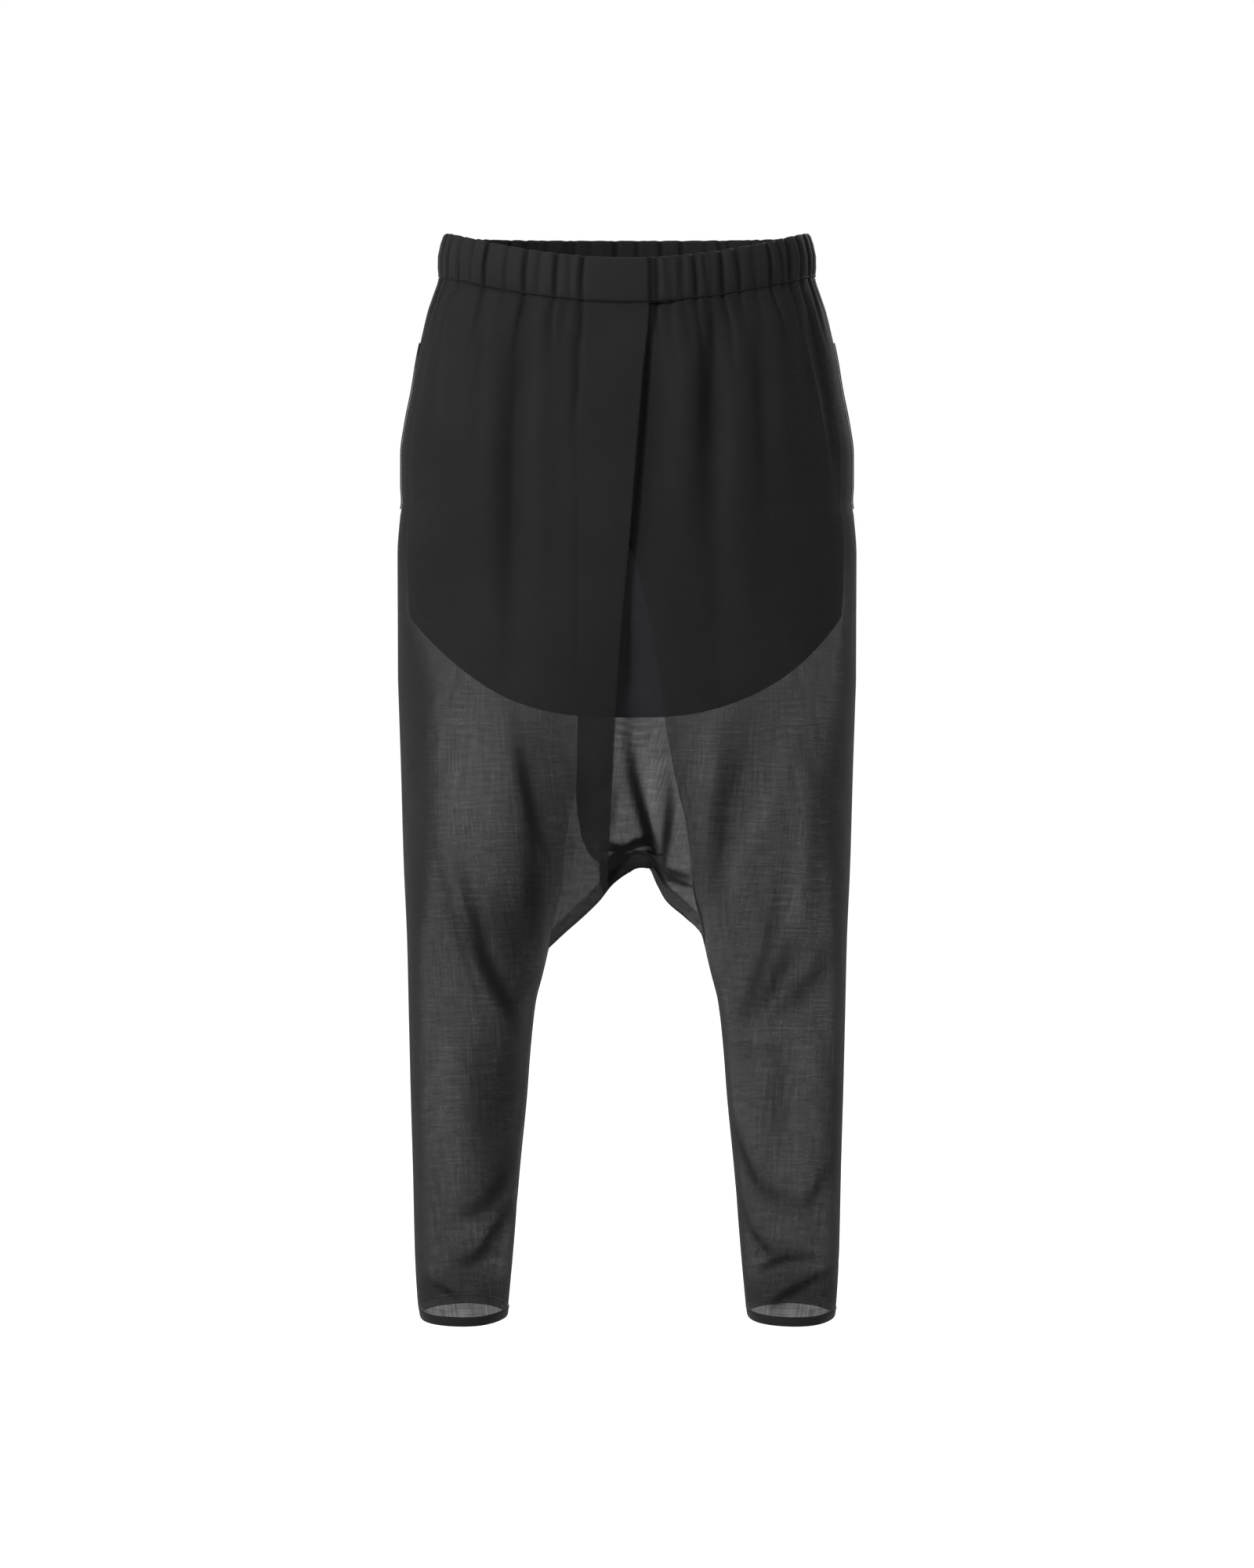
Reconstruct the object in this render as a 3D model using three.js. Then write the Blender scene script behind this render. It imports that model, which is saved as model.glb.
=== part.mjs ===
// Harem pants in sheer black chiffon. A gathered elastic waistband carries a front that wraps
// over at the middle, a plain back, a low crotch on a wedge gusset, narrow legs and a short
// opaque lining whose hem is cut to a deep curve.
// Millimetres, +Z up, front towards -Y. The origin is in the middle of the waistband,
// halfway up it at the side seams. Right and left are the garment's own: right is -X.
import * as THREE from 'three';

// Walls and seams
const SEAM_GAP = 0.3;
const GUSSET_GAP = 0.5;
const PANEL_WALL = 1.2;
const RETURN_WALL = 1.0;
const GUSSET_WALL = 1.2;
const LINING_WALL = 1.0;
const LINING_HEM_WALL = 1.6;
const HEM_WALL = 1.8;
const BAND_WALL = 2.4;
const LIP_WALL = 1.0;

// Waistband
const BAND_TOP = 17.8;
const BAND_BOTTOM = -18.5;
const FRONT_DIP = 27.5;
const BACK_RISE = 3.8;
const DIP_FADES_AT = -110;
const BAND_GATHERS = 62;
const GATHER_RISE = 2.2;
const FLAT_FROM = -33;
const FLAT_TO = 18.5;
const FLAT_RISE = 1.4;

// Legs, crotch and wrap
const GUSSET_TOP = -238;
const CROTCH_LEVEL = -581;
const CROTCH_HALF_WIDTH = 66;
const LEG_END = -886;
const HEM_BOTTOM = -894;
const RETURN_SETBACK = 2.5;
const UNDER_SETBACK = 4.1;
const UNDER_BLEND = 45;
const RETURN_END = -500;
const OVERLAP_SEAM_TOP = -211;
const GUSSET_SAG = 0.05;
const GUSSET_TIP = 0.3;
const RIM_START = -0.3;

// Lining
const LINING_INSET = 9;
const LINING_INSET_SIDE = 1.8;
const LINING_INSET_FRONT = 7;
const LINING_INSET_LOW = 5;
const LINING_DROP = -382;
const LINING_SWEEP = 82;
const LINING_SWEEP_WIDTH = 188;
const LINING_SWEEP_POWER = 2.8;
const LINING_HEM_HEIGHT = 9;

// Pocket mouths in the side seams
const LIP_TOP = -60;
const LIP_BOTTOM = -212;
const LIP_SHARE = 0.7;

// How finely each piece is divided
const PANEL_COLUMNS = 16;
const GUSSET_COLUMNS = 8;
const RETURN_COLUMNS = 6;
const LINING_COLUMNS = 16;
const LINING_ROWS = 6;
const HEM_COLUMNS = 28;
const ARC_STEPS = 48;
const CENTRE_STEPS = 16;

// Rows of the panels: evenly spaced down to each of these heights
const ROW_BANDS = [
  { to: -211, rows: 7 }, { to: -238, rows: 1 }, { to: -500, rows: 8 },
  { to: -581, rows: 5 }, { to: -886, rows: 8 },
];

// Half width of the whole outline at each height
const OUTLINE = [
  { z: 18, side: 152 }, { z: 0, side: 156 }, { z: -18, side: 157 }, { z: -33, side: 161.7 },
  { z: -46, side: 166.3 }, { z: -59, side: 169.6 }, { z: -86, side: 175.6 },
  { z: -112, side: 180 }, { z: -139, side: 185.5 }, { z: -165, side: 189 },
  { z: -191, side: 189.1 }, { z: -204, side: 188.5 }, { z: -218, side: 190.4 },
  { z: -250, side: 192.7 }, { z: -350, side: 192.7 }, { z: -376, side: 192 },
  { z: -429, side: 190.4 }, { z: -508, side: 188.4 }, { z: -574, side: 185.8 },
  { z: -640, side: 184.5 }, { z: -706, side: 183.2 }, { z: -772, side: 181.5 },
  { z: -838, side: 180.2 }, { z: -878, side: 178.2 }, { z: -894, side: 176.6 },
];

// How far the front and the back stand from the side seams at each height
const DEPTH = [
  { z: 18, front: 103, back: 103 }, { z: -18, front: 105, back: 106 },
  { z: -110, front: 112, back: 125 }, { z: -230, front: 118, back: 137 },
  { z: -400, front: 110, back: 122 }, { z: -500, front: 90, back: 98 },
  { z: -581, front: 74, back: 76 }, { z: -700, front: 62, back: 62 },
  { z: -894, front: 50, back: 50 },
];

// Half width of the gusset, and below the crotch half of the gap between the legs
const INNER_EDGE = [
  { z: -238, x: 0 }, { z: -267, x: 11 }, { z: -310, x: 20.5 }, { z: -364, x: 29 },
  { z: -409, x: 36 }, { z: -442, x: 42 }, { z: -472, x: 49.5 }, { z: -502, x: 53.5 },
  { z: -528, x: 55.5 }, { z: -561, x: 62.7 }, { z: -581, x: 66 }, { z: -601, x: 70.6 },
  { z: -627, x: 77 }, { z: -667, x: 81.5 }, { z: -706, x: 84.5 }, { z: -772, x: 91 },
  { z: -838, x: 96.4 }, { z: -894, x: 101.6 },
];

// Rim of the crotch between the two inner legs, as shares of the crotch half width
const CROTCH_ARCH = [
  { share: -1, z: -581 }, { share: -0.79, z: -568 }, { share: -0.55, z: -554 },
  { share: -0.35, z: -541 }, { share: -0.18, z: -527 }, { share: 0, z: -518 },
  { share: 0.15, z: -513 }, { share: 0.27, z: -513 }, { share: 0.38, z: -527 },
  { share: 0.5, z: -541 }, { share: 0.74, z: -555 }, { share: 0.95, z: -569 },
  { share: 1, z: -581 },
];

// Folded edge of the wrap, and the inner edge of the strip that is turned back behind it
const WRAP_EDGE = [
  { z: -18, x: 18 }, { z: -40, x: 17 }, { z: -112, x: 12 }, { z: -178, x: 6.6 },
  { z: -238, x: 2 }, { z: -310, x: -4.6 }, { z: -380, x: -9.2 }, { z: -416, x: -11 },
  { z: -475, x: -14 }, { z: -521, x: -16.5 },
];
const RETURN_EDGE = [
  { z: -18, x: -40 }, { z: -442, x: -40 }, { z: -482, x: -36 }, { z: -498, x: -30 },
  { z: -521, x: -20 },
];

// Large folds: ridges have a positive rise, troughs a negative one. They run from xTop at
// zTop to xLow at zLow and swell to their full rise between the two.
const FRONT_FOLDS = [
  { xTop: -140, xLow: -148, zTop: -18, zLow: -190, width: 11, rise: 3 },
  { xTop: -116, xLow: -122, zTop: -18, zLow: -330, width: 12, rise: 3.5 },
  { xTop: -91, xLow: -93, zTop: -30, zLow: -400, width: 10, rise: -4 },
  { xTop: -70, xLow: -72, zTop: -18, zLow: -300, width: 11, rise: 3.5 },
  { xTop: 47, xLow: 50, zTop: -18, zLow: -280, width: 11, rise: 3 },
  { xTop: 73, xLow: 75, zTop: -30, zLow: -400, width: 10, rise: -4 },
  { xTop: 95, xLow: 99, zTop: -18, zLow: -330, width: 12, rise: 3.5 },
  { xTop: 120, xLow: 130, zTop: -18, zLow: -210, width: 10, rise: 3 },
  { xTop: 146, xLow: 158, zTop: -30, zLow: -220, width: 9, rise: -3 },
  { xTop: -84, xLow: -66, zTop: -395, zLow: -560, width: 13, rise: -5 },
  { xTop: -135, xLow: -92, zTop: -540, zLow: -640, width: 13, rise: -6 },
  { xTop: -99, xLow: -152, zTop: -780, zLow: -856, width: 11, rise: -4 },
  { xTop: 70, xLow: 118, zTop: -430, zLow: -600, width: 14, rise: -5 },
  { xTop: 152, xLow: 108, zTop: -560, zLow: -650, width: 13, rise: -6 },
  { xTop: 112, xLow: 155, zTop: -770, zLow: -850, width: 11, rise: -4 },
];
const BACK_FOLDS = [
  { xTop: -130, xLow: -140, zTop: -18, zLow: -260, width: 11, rise: 3.5 },
  { xTop: -98, xLow: -100, zTop: -30, zLow: -380, width: 11, rise: -4 },
  { xTop: -72, xLow: -75, zTop: -18, zLow: -340, width: 12, rise: 3.5 },
  { xTop: -40, xLow: -44, zTop: -30, zLow: -300, width: 11, rise: -3.5 },
  { xTop: 36, xLow: 40, zTop: -18, zLow: -310, width: 12, rise: 3.5 },
  { xTop: 66, xLow: 69, zTop: -30, zLow: -390, width: 11, rise: -4 },
  { xTop: 98, xLow: 103, zTop: -18, zLow: -330, width: 12, rise: 3.5 },
  { xTop: 132, xLow: 142, zTop: -30, zLow: -230, width: 10, rise: -3 },
  { xTop: -140, xLow: -100, zTop: -560, zLow: -640, width: 14, rise: -6 },
  { xTop: 145, xLow: 104, zTop: -575, zLow: -655, width: 14, rise: -6 },
  { xTop: -108, xLow: -150, zTop: -790, zLow: -850, width: 11, rise: -4 },
  { xTop: 108, xLow: 150, zTop: -780, zLow: -845, width: 11, rise: -4 },
];

const CHIFFON = { color: '#26262a', roughness: 0.85, metalness: 0 };
const GUSSET_CHIFFON = { color: '#3a3a3e', roughness: 0.85, metalness: 0 };
const LINING_CLOTH = { color: '#1a1a1c', roughness: 0.9, metalness: 0 };
const BAND_CLOTH = { color: '#202023', roughness: 0.85, metalness: 0 };

// A smooth curve through a table's rows that never overshoots them
function curveThrough(table, along, want) {
  const at = table.map((row) => row[along]);
  const value = table.map((row) => row[want]);
  const slope = value.slice(1).map((next, i) => (next - value[i]) / (at[i + 1] - at[i]));
  const tangent = value.map((_, i) => {
    const before = slope[Math.max(i - 1, 0)];
    const after = slope[Math.min(i, slope.length - 1)];
    return before * after <= 0 ? 0 : (2 * before * after) / (before + after);
  });
  const direction = Math.sign(at[1] - at[0]);
  return (place) => {
    let i = 0;
    while (i < slope.length - 1 && (place - at[i + 1]) * direction > 0) i += 1;
    const span = at[i + 1] - at[i];
    const t = THREE.MathUtils.clamp((place - at[i]) / span, 0, 1);
    const start = (1 + 2 * t) * (1 - t) ** 2 * value[i] + t * (1 - t) ** 2 * span * tangent[i];
    const end = t * t * (3 - 2 * t) * value[i + 1] - t * t * (1 - t) * span * tangent[i + 1];
    return start + end;
  };
}

const halfWidth = curveThrough(OUTLINE, 'z', 'side');
const frontDepth = curveThrough(DEPTH, 'z', 'front');
const backDepth = curveThrough(DEPTH, 'z', 'back');
const innerEdge = curveThrough(INNER_EDGE, 'z', 'x');
const archHeight = curveThrough(CROTCH_ARCH, 'share', 'z');
const wrapEdge = curveThrough(WRAP_EDGE, 'z', 'x');
const returnEdge = curveThrough(RETURN_EDGE, 'z', 'x');

const FRONT = -1;
const BACK = 1;
const RIGHT = -1;
const LEFT = 1;

function depthOf(face, z) {
  return face === FRONT ? frontDepth(z) : backDepth(z);
}

function smooth(t) {
  const s = THREE.MathUtils.clamp(t, 0, 1);
  return s * s * (3 - 2 * s);
}

// The middle of each leg's section. It leaves X = 0 at the gusset's top and reaches the
// middle of the leg at the crotch, so that one rounded section turns into two.
function legCentre(z) {
  const share = smooth((GUSSET_TOP - z) / (GUSSET_TOP - CROTCH_LEVEL));
  return share * (halfWidth(z) + innerEdge(z)) / 2;
}

// Depth of the outer cloth at |x| on the rounded part of a section
function roundDepth(face, x, z) {
  const centre = legCentre(z);
  const cosine = THREE.MathUtils.clamp((Math.abs(x) - centre) / (halfWidth(z) - centre), -1, 1);
  return depthOf(face, z) * Math.sqrt(1 - cosine * cosine);
}

// A point of the gusset: across runs from -1 to 1 between the legs, down from 0 to 1
function gussetPoint(face, across, down) {
  const edgeZ = GUSSET_TOP + down * (CROTCH_LEVEL - GUSSET_TOP);
  const edge = innerEdge(edgeZ);
  const sag = GUSSET_SAG * (1 - across * across) * smooth((down - 0.45) / 0.4);
  const y = face * (roundDepth(face, edge, edgeZ) * (1 - sag) + SEAM_GAP / 2);
  const z = GUSSET_TOP + down * (archHeight(across) - GUSSET_TOP);
  return new THREE.Vector3(across * edge, y, z);
}

// Depth of the outer cloth at any x and z of the front or the back
function surfaceDepth(face, x, z) {
  if (z >= GUSSET_TOP || Math.abs(x) >= innerEdge(z)) return roundDepth(face, x, z);
  let high = 0;
  let low = 1;
  for (let step = 0; step < 30; step += 1) {
    const down = (high + low) / 2;
    const edge = innerEdge(GUSSET_TOP + down * (CROTCH_LEVEL - GUSSET_TOP));
    const outside = Math.abs(x) > edge;
    const height = outside ? Infinity : gussetPoint(face, x / edge, down).z;
    if (height > z) high = down;
    else low = down;
  }
  const edge = innerEdge(GUSSET_TOP + low * (CROTCH_LEVEL - GUSSET_TOP));
  const across = THREE.MathUtils.clamp(x / edge, -1, 1);
  return Math.abs(gussetPoint(face, across, low).y) - SEAM_GAP / 2;
}

// The waist dips at the front and rises a little at the back, and the rows below follow it
function waistTilt(y, face, z) {
  const share = y / depthOf(face, z);
  const fade = 1 - smooth((BAND_BOTTOM - z) / (BAND_BOTTOM - DIP_FADES_AT));
  return (face === FRONT ? -FRONT_DIP : BACK_RISE) * share * share * fade;
}

// x of the crotch rim on one side at height z
function archX(side, z) {
  let inner = 0;
  let outer = 1;
  for (let step = 0; step < 30; step += 1) {
    const share = (inner + outer) / 2;
    if (archHeight(side * share) > z) inner = share;
    else outer = share;
  }
  return side * inner * CROTCH_HALF_WIDTH;
}

// One row of a panel from the side seam round to endX, or to the inseam in a leg
function rowPath(side, face, z, endX) {
  const centre = legCentre(z);
  const width = halfWidth(z) - centre;
  const inner = z < GUSSET_TOP ? innerEdge(z) : 0;
  const reach = Math.max(side * endX, inner);
  const turn = Math.acos(THREE.MathUtils.clamp((reach - centre) / width, -1, 1));
  const points = [];
  for (let step = 0; step <= ARC_STEPS; step += 1) {
    const angle = turn * step / ARC_STEPS;
    const x = side * (centre + width * Math.cos(angle));
    const y = face * depthOf(face, z) * Math.sin(angle);
    points.push(new THREE.Vector3(x, y, z));
  }
  if (side * endX < inner) {
    for (let step = 1; step <= CENTRE_STEPS; step += 1) {
      const x = side * inner + (endX - side * inner) * step / CENTRE_STEPS;
      points.push(new THREE.Vector3(x, face * surfaceDepth(face, x, z), z));
    }
  }
  for (const point of points) {
    point.z += waistTilt(point.y, face, z);
    point.y += face * SEAM_GAP / 2;
  }
  return points;
}

// The same path with a given number of evenly spaced points
function resample(path, columns) {
  const reach = [0];
  for (let i = 1; i < path.length; i += 1) {
    reach.push(reach[i - 1] + path[i].distanceTo(path[i - 1]));
  }
  const total = reach[reach.length - 1];
  const points = [];
  for (let column = 0; column <= columns; column += 1) {
    const target = total * column / columns;
    let i = 1;
    while (i < path.length - 1 && reach[i] < target) i += 1;
    const share = (target - reach[i - 1]) / (reach[i] - reach[i - 1]);
    points.push(path[i - 1].clone().lerp(path[i], share));
  }
  return points;
}

// How far the folds lift or sink the cloth at a place
function foldRise(face, x, z) {
  const folds = face === FRONT ? FRONT_FOLDS : BACK_FOLDS;
  let rise = 0;
  for (const fold of folds) {
    const along = (fold.zTop - z) / (fold.zTop - fold.zLow);
    if (along <= 0 || along >= 1) continue;
    const middle = fold.xTop + (fold.xLow - fold.xTop) * along;
    const lean = (fold.xLow - fold.xTop) / (fold.zTop - fold.zLow);
    const away = (x - middle) / Math.hypot(1, lean) / fold.width;
    rise += fold.rise * Math.sin(Math.PI * along ** 0.7) * Math.exp(-away * away);
  }
  return rise;
}

// Normals of a grid of points, all on the side that looks away from the given middle
function gridNormals(grid, closed, outward) {
  const normals = grid.map((row) => row.map(() => new THREE.Vector3()));
  const columns = grid[0].length;
  for (let j = 0; j < grid.length - 1; j += 1) {
    for (let i = 0; i < (closed ? columns : columns - 1); i += 1) {
      const next = (i + 1) % columns;
      const diagonal = grid[j + 1][next].clone().sub(grid[j][i]);
      const other = grid[j + 1][i].clone().sub(grid[j][next]);
      const normal = diagonal.cross(other);
      for (const [row, column] of [[j, i], [j, next], [j + 1, i], [j + 1, next]]) {
        normals[row][column].add(normal);
      }
    }
  }
  let facing = 0;
  grid.forEach((row, j) => row.forEach((point, i) => {
    facing += normals[j][i].dot(outward(point));
  }));
  const sign = Math.sign(facing);
  grid.forEach((row, j) => row.forEach((point, i) => {
    const normal = normals[j][i];
    if (!closed && Math.abs(point.y) < SEAM_GAP) normal.y = 0;
    normal.normalize().multiplyScalar(sign);
  }));
  return normals;
}

function moved(grid, normals, distance) {
  return grid.map((row, j) => row.map((point, i) => {
    return point.clone().addScaledVector(normals[j][i], distance(point, i, j));
  }));
}

// One closed wall of cloth whose outer face is the grid
function clothWall(grid, wall, closed, outward) {
  const normals = gridNormals(grid, closed, outward);
  const inner = moved(grid, normals, () => -wall);
  const columns = grid[0].length;
  const count = grid.length * columns;
  const positions = [];
  for (const point of [...grid.flat(), ...inner.flat()]) positions.push(...point.toArray());
  const faces = [];
  for (let j = 0; j < grid.length - 1; j += 1) {
    for (let i = 0; i < (closed ? columns : columns - 1); i += 1) {
      const next = (i + 1) % columns;
      const [a, b] = [j * columns + i, j * columns + next];
      const [c, d] = [(j + 1) * columns + next, (j + 1) * columns + i];
      faces.push([a, b, c], [a, c, d]);
    }
  }
  const directed = new Set(faces.flatMap(([a, b, c]) => [`${a},${b}`, `${b},${c}`, `${c},${a}`]));
  const rims = [];
  for (const edge of directed) {
    const [from, to] = edge.split(',').map(Number);
    if (directed.has(`${to},${from}`)) continue;
    rims.push([to, from, from + count], [to, from + count, to + count]);
  }
  const backs = faces.map(([a, b, c]) => [a + count, c + count, b + count]);
  const all = [...faces, ...backs, ...rims];
  const volume = signedVolume(all, positions);
  const index = all.flatMap(([a, b, c]) => (volume > 0 ? [a, b, c] : [a, c, b]));
  const geometry = new THREE.BufferGeometry();
  geometry.setAttribute('position', new THREE.Float32BufferAttribute(positions, 3));
  geometry.setIndex(index);
  geometry.computeVertexNormals();
  return geometry;
}

function signedVolume(triangles, positions) {
  const corner = (i) => new THREE.Vector3(...positions.slice(3 * i, 3 * i + 3));
  let total = 0;
  for (const [a, b, c] of triangles) {
    total += corner(a).dot(corner(b).cross(corner(c)));
  }
  return total / 6;
}

const pants = new THREE.Group();

function addPiece(name, geometry, look) {
  const mesh = new THREE.Mesh(geometry, new THREE.MeshStandardMaterial(look));
  mesh.name = name;
  pants.add(mesh);
}

// A piece of the front or the back: folds are pressed into it, and its layer may lie behind
function addFacePiece(name, face, flatGrid, wall, look, setback = () => 0) {
  const outward = () => new THREE.Vector3(0, face, 0);
  const normals = gridNormals(flatGrid, false, outward);
  const lift = (point) => foldRise(face, point.x, point.z) - setback(point);
  addPiece(name, clothWall(moved(flatGrid, normals, lift), wall, false, outward), look);
}

// Heights of the panels' rows from the waistband's seam to the leg's hem
function panelHeights() {
  const heights = [BAND_BOTTOM - SEAM_GAP];
  for (const { to, rows } of ROW_BANDS) {
    const from = heights[heights.length - 1];
    for (let row = 1; row <= rows; row += 1) heights.push(from + (to - from) * row / rows);
  }
  return heights;
}

// Where a row of each panel ends, past the middle or at the gusset
function rightFrontEnd(z) {
  if (z > archHeight(wrapEdge(-521) / CROTCH_HALF_WIDTH)) return wrapEdge(z);
  return z > CROTCH_LEVEL ? archX(RIGHT, z) : RIGHT * innerEdge(z);
}

function leftFrontEnd(z) {
  if (z > OVERLAP_SEAM_TOP) return returnEdge(z);
  const share = (OVERLAP_SEAM_TOP - z) / (OVERLAP_SEAM_TOP - GUSSET_TOP);
  if (share < 1) return returnEdge(z) * (1 - share) + (wrapEdge(GUSSET_TOP) + SEAM_GAP) * share;
  return Math.max(wedgeEnd(z), wrapEdge(GUSSET_TOP) * (2 - share));
}

// Above the crotch a panel stops short of the middle or the gusset by half a seam's gap
function wedgeEnd(z) {
  if (z >= GUSSET_TOP) return SEAM_GAP / 2;
  return z > CROTCH_LEVEL ? innerEdge(z) + SEAM_GAP / 2 : innerEdge(z);
}

function panelGrid(side, face, endAt) {
  return panelHeights().map((z) => resample(rowPath(side, face, z, endAt(z)), PANEL_COLUMNS));
}

// The left front passes behind the wrap and comes forward again beside it
function underWrap(point) {
  const beyond = point.x - wrapEdge(point.z) - 5;
  return UNDER_SETBACK * (1 - smooth(beyond / (UNDER_BLEND - 5)));
}

function addPanels() {
  const rightGrid = panelGrid(RIGHT, FRONT, rightFrontEnd);
  addFacePiece('front_right', FRONT, rightGrid, PANEL_WALL, CHIFFON);
  const leftGrid = panelGrid(LEFT, FRONT, leftFrontEnd);
  addFacePiece('front_left', FRONT, leftGrid, PANEL_WALL, CHIFFON, underWrap);
  for (const [name, side] of [['back_right', RIGHT], ['back_left', LEFT]]) {
    const grid = panelGrid(side, BACK, (z) => side * wedgeEnd(z));
    addFacePiece(name, BACK, grid, PANEL_WALL, CHIFFON);
  }
}

// A point of the outer cloth at x on the row whose nominal height is z
function surfacePoint(face, x, z) {
  const y = face * surfaceDepth(face, x, z);
  return new THREE.Vector3(x, y + face * SEAM_GAP / 2, z + waistTilt(y, face, z));
}

// The place at x on a panel's own row of points
function onRow(row, x) {
  const i = row.findIndex((point, k) => k > 0 && (point.x - x) * (row[k - 1].x - x) <= 0);
  return row[i - 1].clone().lerp(row[i], (x - row[i - 1].x) / (row[i].x - row[i - 1].x));
}

// The strip folded back behind the wrap's edge, made from the right front's own points
function addPleatReturn() {
  const heights = panelHeights().filter((z) => z >= RETURN_END);
  const panel = panelGrid(RIGHT, FRONT, rightFrontEnd);
  const grid = heights.map((z, j) => {
    const outer = wrapEdge(z) - SEAM_GAP;
    const points = [];
    for (let column = 0; column <= RETURN_COLUMNS; column += 1) {
      points.push(onRow(panel[j], outer + (returnEdge(z) - outer) * column / RETURN_COLUMNS));
    }
    return points;
  });
  addFacePiece('pleat_return', FRONT, grid, RETURN_WALL, CHIFFON, () => RETURN_SETBACK);
}

// The front gusset starts on a slanting seam under the wrap, follows the panels' rows down
// the wedge and ends on the crotch rim
function addFrontGusset() {
  const rows = panelHeights().filter((z) => z <= GUSSET_TOP && z >= CROTCH_LEVEL);
  const grid = rows.map((rowZ) => {
    const points = [];
    for (let column = 0; column <= GUSSET_COLUMNS; column += 1) {
      points.push(frontGussetPoint(rowZ, column / GUSSET_COLUMNS));
    }
    return points;
  });
  addFacePiece('gusset_front', FRONT, grid, GUSSET_WALL, GUSSET_CHIFFON, underWrap);
}

// share runs from the turned-back strip's edge to the seam with the left front
function frontGussetPoint(rowZ, share) {
  const { lerp } = THREE.MathUtils;
  const right = (rowZ === GUSSET_TOP ? wrapEdge(rowZ) : innerEdge(rowZ)) - GUSSET_GAP;
  const level = lerp(returnEdge(rowZ), right, share);
  if (rowZ === GUSSET_TOP) {
    return surfacePoint(FRONT, level, lerp(OVERLAP_SEAM_TOP, GUSSET_TOP, share) - GUSSET_GAP);
  }
  if (rowZ >= RETURN_END) return surfacePoint(FRONT, level, rowZ);
  const fall = (RETURN_END - rowZ) / (RETURN_END - CROTCH_LEVEL);
  const rim = lerp(RIM_START, 1, share);
  const rimX = rim * CROTCH_HALF_WIDTH;
  const above = lerp(returnEdge(rowZ), innerEdge(RETURN_END), share);
  const x = lerp(lerp(above, rimX, fall), right, share ** 3);
  const z = lerp(RETURN_END, archHeight(rim), fall);
  if (rowZ > CROTCH_LEVEL) return surfacePoint(FRONT, x, z);
  return new THREE.Vector3(rimX, FRONT * SEAM_GAP / 2, z);
}

// The back gusset fills the wedge between the back panels up to a narrow point
function addBackGusset() {
  const rows = panelHeights().filter((z) => z < GUSSET_TOP && z >= CROTCH_LEVEL);
  const downAt = (z) => (GUSSET_TOP - z) / (GUSSET_TOP - CROTCH_LEVEL);
  const tip = { down: downAt(rows[0]) * GUSSET_TIP, edge: innerEdge(rows[0]) * GUSSET_TIP };
  const places = [tip, ...rows.map((z) => ({ down: downAt(z), edge: innerEdge(z) }))];
  const grid = places.map(({ down, edge }) => {
    const edgeThere = innerEdge(GUSSET_TOP + down * (CROTCH_LEVEL - GUSSET_TOP));
    const reach = (edge - GUSSET_GAP) / edgeThere;
    const points = [];
    for (let column = 0; column <= GUSSET_COLUMNS; column += 1) {
      points.push(gussetPoint(BACK, reach * (2 * column / GUSSET_COLUMNS - 1), down));
    }
    return points;
  });
  addFacePiece('gusset_back', BACK, grid, GUSSET_WALL, GUSSET_CHIFFON);
}

// A ring at height z, evenly spaced by angle
function bandPoint(angle, z) {
  const face = Math.sin(angle) < 0 ? FRONT : BACK;
  const x = halfWidth(z) * Math.cos(angle);
  const y = depthOf(face, z) * Math.sin(angle);
  const tilt = (face === FRONT ? -FRONT_DIP : BACK_RISE) * Math.sin(angle) ** 2;
  return new THREE.Vector3(x, y, z + tilt);
}

function isFlat(point) {
  return point.y < 0 && point.x > FLAT_FROM && point.x < FLAT_TO;
}

function addWaistband() {
  const columns = 2 * BAND_GATHERS;
  const levels = [
    { z: BAND_BOTTOM, swell: 0.35 }, { z: -10, swell: 1 },
    { z: 8, swell: 1 }, { z: BAND_TOP, swell: 0.45 },
  ];
  const ring = levels.map(({ z }) => {
    const path = [];
    for (let step = 0; step <= 720; step += 1) path.push(bandPoint(Math.PI * step / 360, z));
    return resample(path, columns).slice(0, columns);
  });
  const outward = (point) => new THREE.Vector3(point.x, point.y, 0);
  const normals = gridNormals(ring, true, outward);
  const lift = (point, i, j) => {
    if (isFlat(point)) return FLAT_RISE;
    const variation = 0.7 + 0.3 * Math.sin(i * 1.7);
    return i % 2 ? GATHER_RISE * levels[j].swell * variation : 0;
  };
  const outer = moved(ring, normals, lift);
  addPiece('waistband', clothWall(outer, BAND_WALL, true, outward), BAND_CLOTH);
}

// Turned-up hem at the end of each leg
function addHem(name, side) {
  const heights = [LEG_END - SEAM_GAP, HEM_BOTTOM];
  const middle = side * legCentre(HEM_BOTTOM);
  const ring = heights.map((z) => {
    const points = [];
    for (let column = 0; column < HEM_COLUMNS; column += 1) {
      const angle = 2 * Math.PI * column / HEM_COLUMNS;
      const width = halfWidth(z) - legCentre(z);
      const x = side * (legCentre(z) + width * Math.cos(angle));
      points.push(new THREE.Vector3(x, frontDepth(z) * Math.sin(angle), z));
    }
    return points;
  });
  const outward = (point) => new THREE.Vector3(point.x - middle, point.y, 0);
  addPiece(name, clothWall(ring, HEM_WALL, true, outward), CHIFFON);
}

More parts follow.
